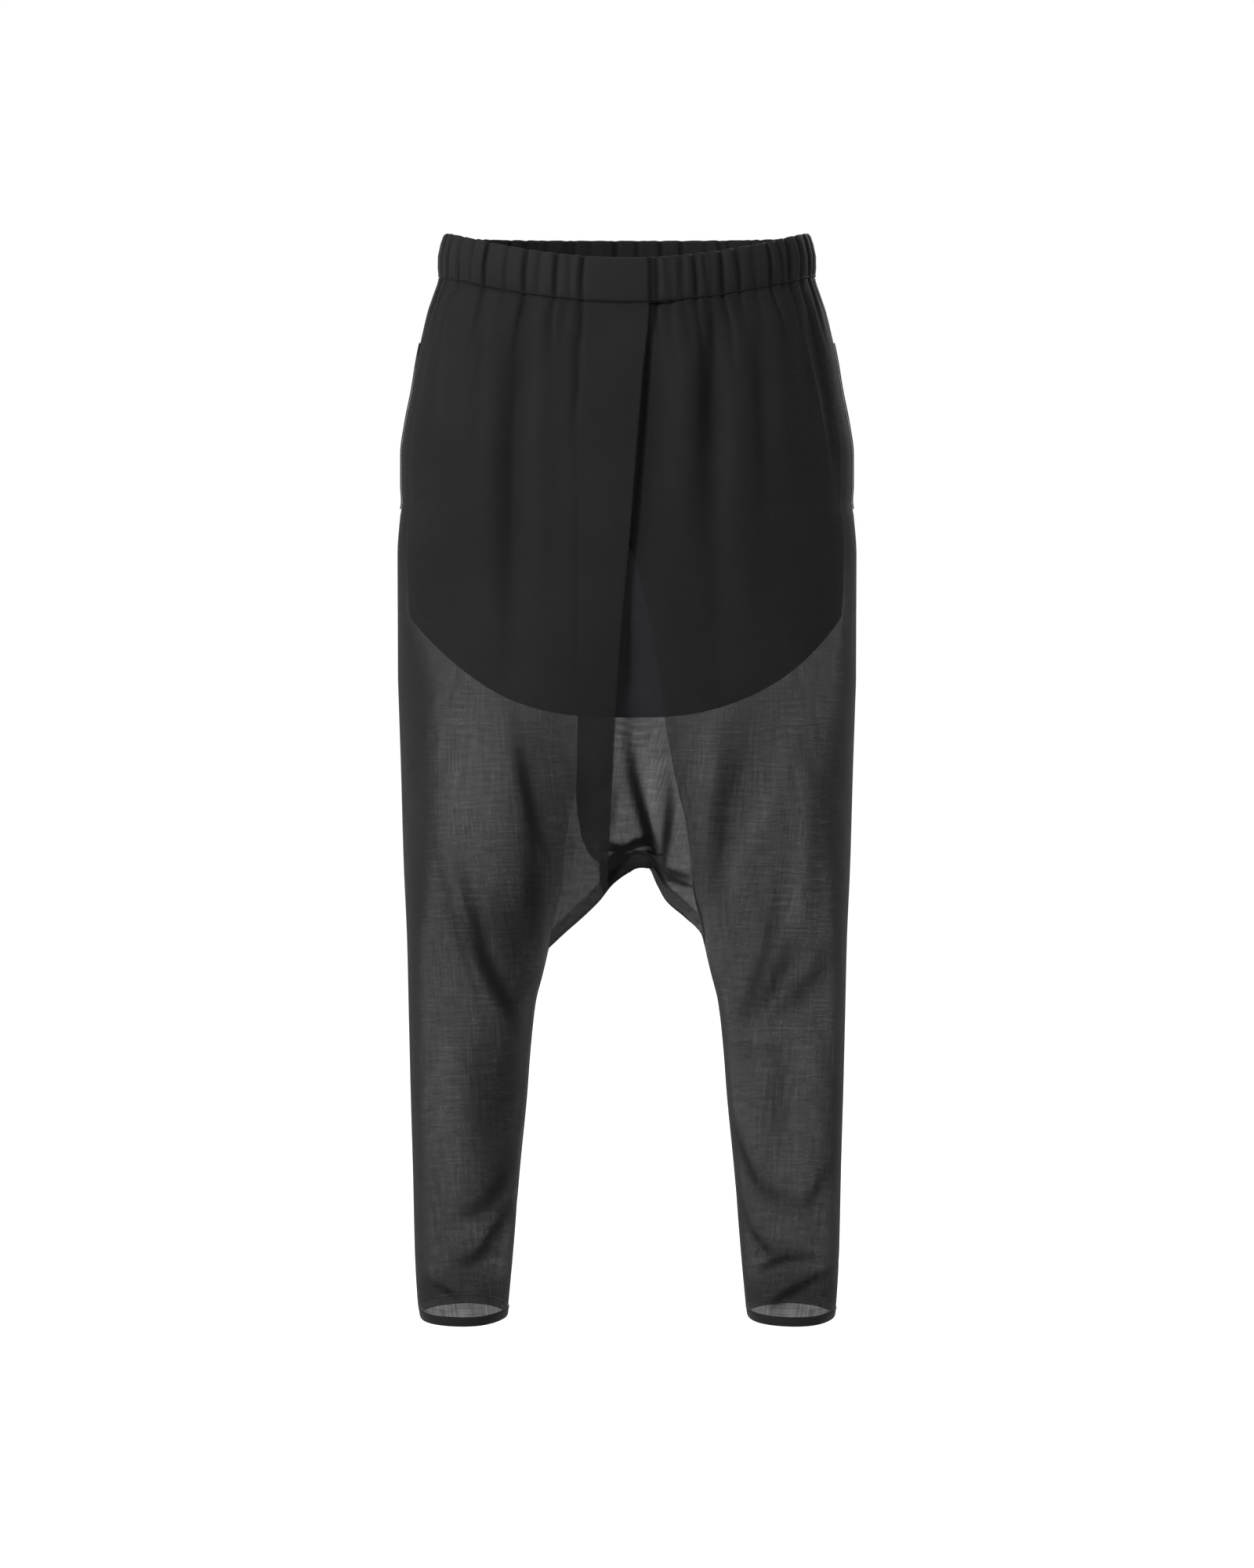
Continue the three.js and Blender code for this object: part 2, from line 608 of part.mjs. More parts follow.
// The lining is a short straight tube; its hem hangs low at the middle and sweeps up at
// the sides. It lies close behind the panels at the waist and hangs clear of them below.
function liningInset(face, x, z) {
  const centre = Math.exp(-((x / 70) ** 2));
  const extra = face === FRONT ? (LINING_INSET_FRONT - LINING_INSET_SIDE) * centre : 0;
  const atWaist = LINING_INSET_SIDE + extra;
  const low = LINING_INSET_LOW * smooth((z - GUSSET_TOP) / (LINING_DROP - GUSSET_TOP));
  return THREE.MathUtils.lerp(atWaist, LINING_INSET, smooth((BAND_BOTTOM - z) / 80)) + low;
}

function liningHem(x) {
  return LINING_DROP + LINING_SWEEP * (Math.abs(x) / LINING_SWEEP_WIDTH) ** LINING_SWEEP_POWER;
}

function liningGrid(face, heightOf, rows) {
  const grid = [];
  for (let row = 0; row <= rows; row += 1) {
    const points = [];
    for (let column = 0; column <= LINING_COLUMNS; column += 1) {
      const angle = Math.PI * column / LINING_COLUMNS;
      const z = heightOf(LINING_SWEEP_WIDTH * Math.cos(angle), row / rows);
      const inset = liningInset(face, halfWidth(z) * Math.cos(angle), z);
      const x = (halfWidth(z) - inset) * Math.cos(angle);
      const outerY = face * depthOf(face, z) * Math.sin(angle);
      const y = outerY - face * (inset * Math.sin(angle) - SEAM_GAP / 2);
      points.push(new THREE.Vector3(x, y, z + waistTilt(outerY, face, z)));
    }
    grid.push(points);
  }
  return grid;
}

function addLining(suffix, face) {
  const outward = () => new THREE.Vector3(0, face, 0);
  const top = BAND_BOTTOM - SEAM_GAP;
  const body = (x, share) => top + (liningHem(x) + LINING_HEM_HEIGHT - top) * share;
  const hem = (x, share) => liningHem(x) + (LINING_HEM_HEIGHT - SEAM_GAP) * (1 - share);
  const bodyGrid = liningGrid(face, body, LINING_ROWS);
  const hemGrid = liningGrid(face, hem, 1);
  addPiece(`lining_${suffix}`, clothWall(bodyGrid, LINING_WALL, false, outward), LINING_CLOTH);
  addPiece(`lining_hem_${suffix}`, clothWall(hemGrid, LINING_HEM_WALL, false, outward), LINING_CLOTH);
}

// A narrow bound edge along each pocket mouth, made from the front panel's own points
function addPocketLip(name, side) {
  const panel = panelGrid(side, FRONT, side === RIGHT ? rightFrontEnd : leftFrontEnd);
  const beside = panel.filter(([point]) => point.z <= LIP_TOP && point.z >= LIP_BOTTOM);
  const grid = beside.map(([seam, next]) => [seam, seam.clone().lerp(next, LIP_SHARE)]);
  const outward = () => new THREE.Vector3(side, FRONT, 0);
  const normals = gridNormals(grid, false, outward);
  const lift = (point) => foldRise(FRONT, point.x, point.z) + LIP_WALL + SEAM_GAP;
  addPiece(name, clothWall(moved(grid, normals, lift), LIP_WALL, false, outward), CHIFFON);
}

addWaistband();
addPanels();
addPleatReturn();
addFrontGusset();
addBackGusset();
addLining('front', FRONT);
addLining('back', BACK);
addHem('hem_right', RIGHT);
addHem('hem_left', LEFT);
addPocketLip('pocket_lip_right', RIGHT);
addPocketLip('pocket_lip_left', LEFT);

export default pants;
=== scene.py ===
"""Harem pants in sheer black chiffon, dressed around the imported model.

Lengths in the tables are millimetres, as a pattern cutter writes them, and MM turns them
to metres where a mesh is made. +Z is up and the front looks towards -Y. Right and left
are the garment's own, so right is -X.
"""

import bisect
import math

import bpy
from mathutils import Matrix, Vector


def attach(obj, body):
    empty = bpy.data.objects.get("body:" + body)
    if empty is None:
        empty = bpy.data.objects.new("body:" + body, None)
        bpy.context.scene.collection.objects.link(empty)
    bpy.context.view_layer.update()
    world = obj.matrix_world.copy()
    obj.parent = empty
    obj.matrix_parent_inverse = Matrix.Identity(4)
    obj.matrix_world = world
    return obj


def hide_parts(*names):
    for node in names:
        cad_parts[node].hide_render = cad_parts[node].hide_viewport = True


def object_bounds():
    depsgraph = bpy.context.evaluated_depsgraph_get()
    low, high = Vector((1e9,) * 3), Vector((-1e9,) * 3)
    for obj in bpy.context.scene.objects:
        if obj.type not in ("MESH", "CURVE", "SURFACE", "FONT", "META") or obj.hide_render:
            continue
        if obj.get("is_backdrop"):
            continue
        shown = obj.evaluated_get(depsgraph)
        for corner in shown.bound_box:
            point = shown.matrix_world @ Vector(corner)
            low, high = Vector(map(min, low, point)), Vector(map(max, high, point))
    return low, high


bl_info = {
    "name": "Sheer Harem Pants",
    "version": (1, 0, 0),
    "blender": (4, 5, 0),
    "location": "View3D > Sidebar > Pants",
    "description": "Builds the cloth, lining, band and stitching of a pair of sheer harem pants",
    "category": "Object",
}

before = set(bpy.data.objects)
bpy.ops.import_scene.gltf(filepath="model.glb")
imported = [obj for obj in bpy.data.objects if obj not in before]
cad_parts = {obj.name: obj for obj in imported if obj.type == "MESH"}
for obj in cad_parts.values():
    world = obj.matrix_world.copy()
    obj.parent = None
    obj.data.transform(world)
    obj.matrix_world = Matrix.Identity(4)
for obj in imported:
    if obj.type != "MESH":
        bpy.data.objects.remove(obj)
cad_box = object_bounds()

MM = 0.001
FRONT, BACK = -1, 1
RIGHT, LEFT = -1, 1

# Waistband
BAND_TOP, BAND_BOTTOM = 17.8, -18.5
FRONT_DIP, BACK_RISE, DIP_FADES_AT = 27.5, 3.8, -110
FLAT_FROM, FLAT_TO, FLAT_RISE = -33, 18.5, 1.4
# Width of one gather in radians round the waist, and how much wider the ridge beside it is
GATHER_WIDTH, RIDGE_SPREAD = 0.021, 2.6
# Where the gathers below the band fade out, and how much they bunch the cloth: their creases grow
# denser and get painted shade, their ridges grow sheerer
GATHERS_FADE_AT, GATHER_BUNCH_AND_SHADE = -150, 0.44
# Places of the band's section that lie further in than this are on its inner face, which is
# darkened with painted shade
INNER_FACE = 1.3

# Crotch, wrap and hems
GUSSET_TOP, CROTCH_LEVEL, CROTCH_HALF_WIDTH = -238, -581, 66
LEG_END, HEM_BOTTOM = -886, -894
RETURN_SETBACK, RETURN_INSET = 2.5, 0.6
# How far the left front lies behind the wrap, and where beside its edge it comes forward again
UNDER_SETBACK, UNDER_START, UNDER_BLEND = 4.1, 5, 45
RETURN_END, OVERLAP_SEAM_TOP = -516, -211
GUSSET_SAG, RIM_START, BACK_GUSSET_TOP = 0.05, -0.3, -246
# From here down the front gusset's rows sink to the arched rim of the crotch
RIM_ROWS_TOP = RETURN_END + 16

# Lining
LINING_INSET, LINING_INSET_SIDE, LINING_INSET_FRONT, LINING_INSET_LOW = 9, 1.8, 7, 5
LINING_DROP, LINING_SWEEP, LINING_SWEEP_WIDTH, LINING_SWEEP_POWER = -382, 82, 188, 2.8
# The last of these is how much the lining's stitched hem bunches, which darkens its colour with
# painted shade
LINING_HEM_HEIGHT, LINING_WALL, LINING_HEM_WALL, LINING_HEM_PAINTED_SHADE = 9, 0.5, 1.3, 0.4

# Pocket mouths
LIP_TOP, LIP_BOTTOM, LIP_WIDTH, LIP_PROUD, LIP_WALL = -73, -211, 11, 1.2, 0.8

# Width of the seam allowances, of the turned rim of the crotch and of the darker strip beside
# the inseams, and how dark the hems, the shins, that strip and the side seams' lines are
SEAM_ALLOWANCE, RIM_BAND, INNER_STRIP = 6.5, 21, 7
HEM_DARK, SHIN_DARK, INNER_DARK, SIDE_LINE_DARK = 0.1, 0.03, 0.15, 0.07
HEM_DARK_TOP, SHIN_DARK_TOP, SIDE_LINE_TOP = -858, -690, -300

# How many times its own width a crease reaches to each side
CREASE_REACH = 2.4

# Stitches: radius, share of a step that one fills, its bevel, how proud they stand on the band
# and on the legs, and how far they lie from the seam of the band and of the leg's hem
STITCH_RADIUS, STITCH_SHARE, STITCH_BEVEL = 0.38, 0.66, 0.12
BAND_STITCH_PROUD, HEM_STITCH_PROUD = 0.1, 0.15
BAND_STITCH_RISE, HEM_STITCH_DROP = 1.6, 1.2

# How finely the cloth is divided
BAND_COLUMNS = 760
PANEL_COLUMNS = 124
GUSSET_COLUMNS = 84
RETURN_COLUMNS = 14
LINING_COLUMNS = 72
LINING_ROWS, LINING_HEM_ROWS = 60, 3
LIP_COLUMNS = 4
RING_COLUMNS = 96
BAND_STITCH_PLACES = 720
ROW_STEP, GUSSET_STEP = 3.6, 2.6
ARC_STEPS = 72
CENTRE_STEPS = 24
MERGE_DISTANCE = 0.01

# Half width of the outline (z, side)
OUTLINE = [
    (18, 152), (0, 156), (-18, 157), (-33, 161.7), (-46, 166.3), (-59, 169.6), (-86, 175.6),
    (-112, 180), (-139, 185.5), (-165, 189), (-191, 189.1), (-204, 188.5), (-218, 190.4),
    (-250, 192.7), (-350, 192.7), (-376, 192), (-429, 190.4), (-508, 188.4), (-574, 185.8),
    (-640, 184.5), (-706, 183.2), (-772, 181.5), (-838, 180.2), (-878, 178.2), (-894, 176.6),
]
# How far the front and the back stand from the side seams (z, depth)
FRONT_DEPTH = [
    (18, 103), (-18, 105), (-110, 112), (-230, 118), (-400, 110), (-500, 90), (-581, 74),
    (-700, 62), (-894, 50),
]
BACK_DEPTH = [
    (18, 103), (-18, 106), (-110, 125), (-230, 137), (-400, 122), (-500, 98), (-581, 76),
    (-700, 62), (-894, 50),
]
# Half width of the gusset, and below the crotch half of the gap between the legs (z, x)
INNER_EDGE = [
    (-238, 0), (-267, 11), (-310, 20.5), (-364, 29), (-409, 36), (-442, 42), (-472, 49.5),
    (-502, 53.5), (-528, 55.5), (-561, 62.7), (-581, 66), (-601, 70.6), (-627, 77),
    (-667, 81.5), (-706, 84.5), (-772, 91), (-838, 96.4), (-894, 101.6),
]
# Rim of the crotch (share of the half width, z)
CROTCH_ARCH = [
    (-1, -581), (-0.79, -568), (-0.55, -554), (-0.35, -541), (-0.18, -527), (0, -518),
    (0.15, -513), (0.27, -513), (0.38, -527), (0.5, -541), (0.74, -555), (0.95, -569),
    (1, -581),
]
# Folded edge of the wrap, and inner edge of the strip turned back behind it (z, x)
WRAP_EDGE = [
    (-18, 18), (-40, 17), (-112, 12), (-178, 6.6), (-238, 2), (-310, -4.6), (-380, -9.2),
    (-416, -11), (-475, -14), (-521, -16.5),
]
RETURN_EDGE = [(-18, -40), (-442, -40), (-482, -36), (-498, -30), (-521, -20)]
# A darker strip runs beside each side seam in the photograph: its width (z, width), and how
# dark it is beside the lining, the thighs and the shins (z, shade)
RIGHT_STRIP = [(-290, 9), (-370, 27), (-480, 25), (-600, 10), (-894, 8)]
LEFT_STRIP = [(-290, 9), (-370, 15), (-450, 22), (-600, 10), (-894, 8)]
SIDE_SHADE = [(-230, 0.3), (-290, 0.14), (-480, 0.11), (-600, 0.14), (-894, 0.08)]

# Folds (x at the top, x at the bottom, z of the top, z of the bottom, width, rise)
FRONT_FOLDS = [
    (-140, -148, -18, -190, 11, 3), (-116, -122, -18, -330, 12, 3.5),
    (-91, -93, -30, -400, 10, -4), (-70, -72, -18, -300, 11, 3.5),
    (47, 50, -18, -280, 11, 3), (73, 75, -30, -400, 10, -4), (95, 99, -18, -330, 12, 3.5),
    (120, 130, -18, -210, 10, 3), (146, 158, -30, -220, 9, -3),
    (-84, -66, -395, -560, 13, -5), (-135, -92, -540, -640, 13, -6),
    (-99, -152, -780, -856, 11, -4), (70, 118, -430, -600, 14, -5),
    (152, 108, -560, -650, 13, -6), (112, 155, -770, -850, 11, -4),
]
BACK_FOLDS = [
    (-130, -140, -18, -260, 11, 3.5), (-98, -100, -30, -380, 11, -4),
    (-72, -75, -18, -340, 12, 3.5), (-40, -44, -30, -300, 11, -3.5),
    (36, 40, -18, -310, 12, 3.5), (66, 69, -30, -390, 11, -4), (98, 103, -18, -330, 12, 3.5),
    (132, 142, -30, -230, 10, -3), (-140, -100, -560, -640, 14, -6),
    (145, 104, -575, -655, 14, -6), (-108, -150, -790, -850, 11, -4),
    (108, 150, -780, -845, 11, -4),
]
# Creases in the cloth itself: width, rise, how much the cloth bunches there, which thickens it
# and paints shade into its colour, and the path (x, z) of each, from the places where the
# photograph shows them
FRONT_CREASES = [
    (9, -2.6, 0.22, [(-91, -33), (-96, -178), (-98, -376)]),
    (4, -2.0, 0.20, [(-83, -20), (-84, -60), (-88, -100), (-93, -145)]),
    (4, -1.6, 0.14, [(-115, -20), (-118, -60), (-124, -115)]),
    (3, -1.5, 0.18, [(-33, -24), (-38, -96), (-42, -130), (-41, -190)]),
    (5, -1.8, 0.18, [(77, -24), (71, -70), (66, -120), (64, -170)]),
    (3.5, -1.5, 0.14, [(55, -22), (51, -55), (50, -100)]),
    (6, -1.8, 0.16, [(-120, -40), (-124, -130), (-126, -210)]),
    (7, 1.6, -0.04, [(-106, -40), (-110, -180), (-112, -330)]),
    (3, -0.9, 0.10, [(-39, -150), (-40, -260), (-40, -380)]),
    (10, -3.0, 0.22, [(69, -46), (66, -152), (63, -257)]),
    (8, 1.8, -0.04, [(86, -46), (86, -160), (82, -280)]),
    (6, -1.8, 0.16, [(104, -40), (108, -130), (112, -230)]),
    (6, -2.4, 0.24, [(148, -33), (162, -112), (171, -205)]),
    (4, 2.4, -0.10, [(136, -22), (149, -75), (158, -120), (165, -170), (172, -240)]),
    (5, -1.4, 0.10, [(-150, -50), (-160, -130), (-166, -200)]),
    (5, -2.5, 0.26, [(-94, -360), (-88, -415), (-83, -441), (-74, -476), (-58, -512)]),
    (26, -0.6, 0.15, [(-66, -330), (-62, -430), (-68, -520), (-78, -600)]),
    (9, -1.6, 0.14, [(-86, -485), (-80, -530), (-75, -570), (-82, -625)]),
    (30, 1.0, -0.13, [(-128, -310), (-130, -430), (-142, -540)]),
    (6, -2.6, 0.26, [(-144, -480), (-131, -531), (-117, -582), (-101, -614), (-86, -665)]),
    (17, -0.8, 0.18, [(-108, -510), (-94, -575), (-82, -645)]),
    (5, 1.8, -0.07, [(-144, -490), (-135, -550), (-120, -605), (-102, -660)]),
    (4, -1.0, 0.10, [(-164, -440), (-158, -485), (-144, -550), (-126, -606), (-110, -655)]),
    (28, -1.0, 0.22, [(-98, -590), (-98, -700), (-104, -820)]),
    (10, 0.8, -0.06, [(-152, -620), (-150, -720), (-146, -800)]),
    (8, -2.0, 0.15, [(-84, -728), (-100, -765), (-114, -787), (-148, -808)]),
    (5, -2.6, 0.26, [(-90, -780), (-106, -812), (-124, -836), (-152, -847)]),
    (3, -1.5, 0.28, [(-172, -857), (-155, -862), (-138, -870)]),
    (7, 1.2, -0.06, [(-104, -786), (-124, -806), (-150, -820)]),
    (12, 1.0, -0.09, [(66, -340), (67, -410), (64, -500)]),
    (10, -1.2, 0.12, [(102, -350), (90, -420), (77, -465), (72, -540)]),
    (9, 1.6, -0.09, [(146, -360), (118, -441), (88, -510), (80, -550)]),
    (10, -0.9, 0.12, [(160, -370), (158, -470), (156, -570)]),
    (7, 2.4, -0.12, [(145, -420), (142, -492), (137, -558), (118, -613), (98, -665)]),
    (6, -1.8, 0.16, [(128, -500), (115, -574), (100, -620), (88, -650)]),
    (8, -2.0, 0.19, [(176, -560), (158, -597), (137, -618), (104, -650)]),
    (9, -1.0, 0.07, [(84, -650), (106, -662), (138, -662)]),
    (26, 0, -0.04, [(128, -590), (130, -700), (134, -810)]),
    (9, -0.8, 0.12, [(164, -630), (170, -719), (168, -790)]),
    (3.5, -2.0, 0.22, [(90, -715), (96, -747), (105, -769), (115, -783)]),
    (6, -1.6, 0.16, [(174, -748), (162, -773), (152, -789), (143, -800)]),
    (3, -1.4, 0.22, [(93, -780), (103, -814), (116, -829), (124, -836)]),
    (3.5, -2.2, 0.34, [(108, -850), (120, -841), (132, -836), (166, -834)]),
    (4, -2.4, 0.36, [(116, -880), (130, -868), (147, -859), (182, -844)]),
]
BACK_CREASES = [
    (9, -2.2, 0.18, [(-99, -40), (-102, -180), (-100, -360)]),
    (7, -1.8, 0.18, [(-40, -40), (-43, -150), (-44, -280)]),
    (7, 1.6, -0.04, [(-70, -40), (-74, -170), (-78, -320)]),
    (9, -2.2, 0.18, [(66, -40), (68, -190), (70, -370)]),
    (7, 1.6, -0.04, [(36, -40), (39, -150), (41, -300)]),
    (6, -1.8, 0.10, [(136, -40), (146, -130), (154, -220)]),
    (6, -1.6, 0.10, [(-146, -50), (-156, -130), (-164, -215)]),
    (8, -2.2, 0.20, [(-92, -400), (-86, -470), (-78, -540), (-72, -585)]),
    (8, -2.4, 0.22, [(-146, -548), (-134, -585), (-114, -622), (-96, -645)]),
    (8, -2.0, 0.18, [(88, -390), (82, -470), (74, -560)]),
    (8, -2.4, 0.22, [(150, -560), (136, -598), (118, -632), (98, -655)]),
    (12, -0.9, 0.12, [(-128, -660), (-126, -720), (-124, -780)]),
    (12, -0.9, 0.12, [(132, -650), (128, -720), (130, -775)]),
    (7, -1.6, 0.12, [(-98, -780), (-118, -808), (-152, -822)]),
    (6, -1.2, 0.12, [(-104, -838), (-128, -852), (-160, -858)]),
    (7, -1.6, 0.12, [(102, -772), (122, -800), (158, -812)]),
    (6, -1.2, 0.10, [(106, -832), (130, -848), (166, -852)]),
]
# Creases of the gussets, in the same columns: their bunching also paints shade into the colour
GUSSET_CREASES = [
    (4, -2.6, 0.36, [(-2, -385), (6, -440), (16, -482), (24, -505), (34, -535)]),
    (3, -2.2, 0.34, [(38, -436), (35, -470), (31, -500), (28, -530)]),
    (5, -1.6, 0.16, [(6, -300), (4, -350), (2, -400)]),
    (3, -1.2, 0.12, [(-8, -436), (-11, -470), (-14, -490)]),
    (5, -1.4, 0.22, [(4, -246), (1, -320), (-3, -392)]),
    (6, 1.4, -0.06, [(14, -400), (20, -450), (24, -480)]),
]
# Where the left front passes behind the wrap's edge it sinks in creases, and their bunching paints
# a deep shadow into its colour
UNDER_WRAP_CREASES_AND_SHADOW = [
    (3.5, -2.2, 0.50, [(20, -36), (18, -60), (14, -112), (9, -178), (4.5, -238), (2, -262)]),
    (12, -1.2, 0.30, [(18, -75), (18, -112), (14, -178), (10, -238), (8, -275)]),
]
# Gathers of the front: x on the band's seam, strength, and length below the band
FRONT_GATHERS = [
    (-153, 0.8, 60), (-148, 0.7, 90), (-139, 0.9, 70), (-128, 0.4, 40), (-116, 1.0, 95),
    (-99, 0.45, 45), (-83, 1.0, 80), (-71, 0.4, 110), (-57, 0.9, 60), (-46, 0.5, 40),
    (-36, 1.0, 120), (24, 0.8, 45), (34, 0.6, 75), (44, 0.8, 40), (55, 1.0, 90), (65, 0.7, 60),
    (77, 1.0, 110), (90, 0.8, 50), (103, 0.5, 70), (117, 0.9, 85), (126, 0.5, 40),
    (133, 0.9, 60), (143, 1.0, 100), (150, 0.9, 70), (154, 0.8, 50),
]
# Cloth doubled along the crotch's seam
CROTCH_SEAMS = [
    (2.4, 0.3, 0.80, [(-24, -493), (-12, -497), (-3, -501), (8, -493), (18, -491), (28, -494)]),
    (2.4, 0.3, 0.80, [(18, -510), (28, -517), (40, -521), (62, -527)]),
    (5, 0.3, 0.70, [(-20, -530), (-12, -512), (-6, -505), (2, -494)]),
]
# Below the lining the turned-back strip is sheerer
RETURN_CREASES = [(60, 0, -0.42, [(-30, -330), (-28, -640)])]


def curve_through(rows):
    """Returns a smooth curve through (place, value) rows that never overshoots them."""
    at = [row[0] for row in rows]
    value = [row[1] for row in rows]
    count = len(rows) - 1
    slope = [(value[i + 1] - value[i]) / (at[i + 1] - at[i]) for i in range(count)]
    tangent = []
    for i in range(count + 1):
        before = slope[max(i - 1, 0)]
        after = slope[min(i, count - 1)]
        tangent.append(0 if before * after <= 0 else 2 * before * after / (before + after))
    rising = 1 if at[1] > at[0] else -1

    def read(place):
        i = 0
        while i < count - 1 and (place - at[i + 1]) * rising > 0:
            i += 1
        span = at[i + 1] - at[i]
        t = min(max((place - at[i]) / span, 0), 1)
        start = (1 + 2 * t) * (1 - t) ** 2 * value[i] + t * (1 - t) ** 2 * span * tangent[i]
        end = t * t * (3 - 2 * t) * value[i + 1] - t * t * (1 - t) * span * tangent[i + 1]
        return start + end

    return read


half_width = curve_through(OUTLINE)
front_depth = curve_through(FRONT_DEPTH)
back_depth = curve_through(BACK_DEPTH)
inner_edge = curve_through(INNER_EDGE)
arch_height = curve_through(CROTCH_ARCH)
wrap_edge = curve_through(WRAP_EDGE)
return_edge = curve_through(RETURN_EDGE)
right_strip = curve_through(RIGHT_STRIP)
left_strip = curve_through(LEFT_STRIP)
side_shade = curve_through(SIDE_SHADE)


def depth_of(face, z):
    return front_depth(z) if face == FRONT else back_depth(z)


def smooth(t):
    s = min(max(t, 0), 1)
    return s * s * (3 - 2 * s)


def mix(a, b, share):
    return a + (b - a) * share


def path_length(path):
    return sum((b - a).length for a, b in zip(path, path[1:]))


def leg_centre(z):
    """The middle of each leg's section, from X = 0 at the gusset's top to the leg's middle."""
    share = smooth((GUSSET_TOP - z) / (GUSSET_TOP - CROTCH_LEVEL))
    return share * (half_width(z) + inner_edge(z)) / 2


def round_depth(face, x, z):
    """Depth of the outer cloth at x on the rounded part of a section."""
    centre = leg_centre(z)
    cosine = min(max((abs(x) - centre) / (half_width(z) - centre), -1), 1)
    return depth_of(face, z) * math.sqrt(1 - cosine * cosine)


def gusset_place(face, across, down):
    """A place on the gusset: across is -1 to 1 between the legs, down is 0 to 1."""
    edge_z = GUSSET_TOP + down * (CROTCH_LEVEL - GUSSET_TOP)
    edge = inner_edge(edge_z)
    sag = GUSSET_SAG * (1 - across * across) * smooth((down - 0.45) / 0.4)
    y = face * round_depth(face, edge, edge_z) * (1 - sag)
    z = GUSSET_TOP + down * (arch_height(across) - GUSSET_TOP)
    return Vector((across * edge, y, z))


def surface_depth(face, x, z):
    """Depth of the outer cloth at any x and z of the front or the back."""
    if z >= GUSSET_TOP or abs(x) >= inner_edge(z):
        return round_depth(face, x, z)
    high, low = 0.0, 1.0
    for _ in range(22):
        down = (high + low) / 2
        edge = inner_edge(GUSSET_TOP + down * (CROTCH_LEVEL - GUSSET_TOP))
        if abs(x) > edge or GUSSET_TOP + down * (arch_height(x / edge) - GUSSET_TOP) > z:
            high = down
        else:
            low = down
    edge = inner_edge(GUSSET_TOP + low * (CROTCH_LEVEL - GUSSET_TOP))
    return abs(gusset_place(face, min(max(x / edge, -1), 1), low).y)


def waist_tilt(y, face, z):
    """The waist dips at the front and rises a little at the back; rows below follow it."""
    share = y / depth_of(face, z)
    fade = 1 - smooth((BAND_BOTTOM - z) / (BAND_BOTTOM - DIP_FADES_AT))
    return (-FRONT_DIP if face == FRONT else BACK_RISE) * share * share * fade


def surface_place(face, x, z):
    y = face * surface_depth(face, x, z)
    return Vector((x, y, z + waist_tilt(y, face, z)))


def arch_x(side, z):
    """x of the crotch rim on one side at height z."""
    inner, outer = 0.0, 1.0
    for _ in range(22):
        share = (inner + outer) / 2
        if arch_height(side * share) > z:
            inner = share
        else:
            outer = share
    return side * inner * CROTCH_HALF_WIDTH


def row_path(side, face, z, end_x):
    """One row of a panel from the side seam to end_x, or round to a leg's inseam."""
    centre = leg_centre(z)
    width = half_width(z) - centre
    inner = inner_edge(z) if z < GUSSET_TOP else 0
    reach = max(side * end_x, inner)
    turn = math.acos(min(max((reach - centre) / width, -1), 1))
    path = []
    for step in range(ARC_STEPS + 1):
        angle = turn * step / ARC_STEPS
        x = side * (centre + width * math.cos(angle))
        path.append(Vector((x, face * depth_of(face, z) * math.sin(angle), z)))
    if side * end_x < inner - 0.01:
        for step in range(1, CENTRE_STEPS + 1):
            x = mix(side * inner, end_x, step / CENTRE_STEPS)
            path.append(Vector((x, face * surface_depth(face, x, z), z)))
    for place in path:
        place.z += waist_tilt(place.y, face, z)
    return path


def resample(path, columns):
    """The same path with a given number of evenly spaced places."""
    reach = [0.0]
    for before, after in zip(path, path[1:]):
        reach.append(reach[-1] + (after - before).length)
    places = []
    i = 1
    for column in range(columns + 1):
        target = reach[-1] * column / columns
        while i < len(path) - 1 and reach[i] < target:
            i += 1
        span = max(reach[i] - reach[i - 1], 1e-9)
        places.append(path[i - 1].lerp(path[i], (target - reach[i - 1]) / span))
    return places


def heights(top, bottom, step=ROW_STEP):
    count = max(2, round((top - bottom) / step))
    return [mix(top, bottom, row / count) for row in range(count + 1)]


def fold_rise(folds, x, z):
    """How far the folds of a table lift the cloth at a place, or sink it."""
    rise = 0.0
    for x_top, x_low, z_top, z_low, width, height in folds:
        along = (z_top - z) / (z_top - z_low)
        if not 0 < along < 1:
            continue
        lean = (x_low - x_top) / (z_top - z_low)
        away = (x - mix(x_top, x_low, along)) / math.hypot(1, lean) / width
        taper = math.sin(math.pi * along**0.7) * smooth(along / 0.15)
        rise += height * taper * math.exp(-away * away)
    return rise


def path_distance(path, x, z):
    """Distance from a place to a path, and how far along the path its nearest point lies."""
    best, along = 1e9, 0.0
    for i, ((x0, z0), (x1, z1)) in enumerate(zip(path, path[1:])):
        dx, dz = x1 - x0, z1 - z0
        t = min(max(((x - x0) * dx + (z - z0) * dz) / (dx * dx + dz * dz), 0), 1)
        distance = math.hypot(x - x0 - t * dx, z - z0 - t * dz)
        if distance < best:
            best, along = distance, (i + t) / (len(path) - 1)
    return best, along


def crease_effect(creases, x, z):
    """How far creases lift the cloth at a place, and how much it bunches there."""
    rise = bunch_and_shade = 0.0
    for width, height, dark, path in creases:
        reach = CREASE_REACH * width
        low, high = sorted((path[0][1], path[-1][1]))
        if not low - reach < z < high + reach:
            continue
        distance, along = path_distance(path, x, z)
        if distance < reach:
            share = math.exp(-((distance / width) ** 2)) * math.sin(math.pi * along) ** 1.1
            rise += height * share
            bunch_and_shade += dark * share
    return rise, bunch_and_shade


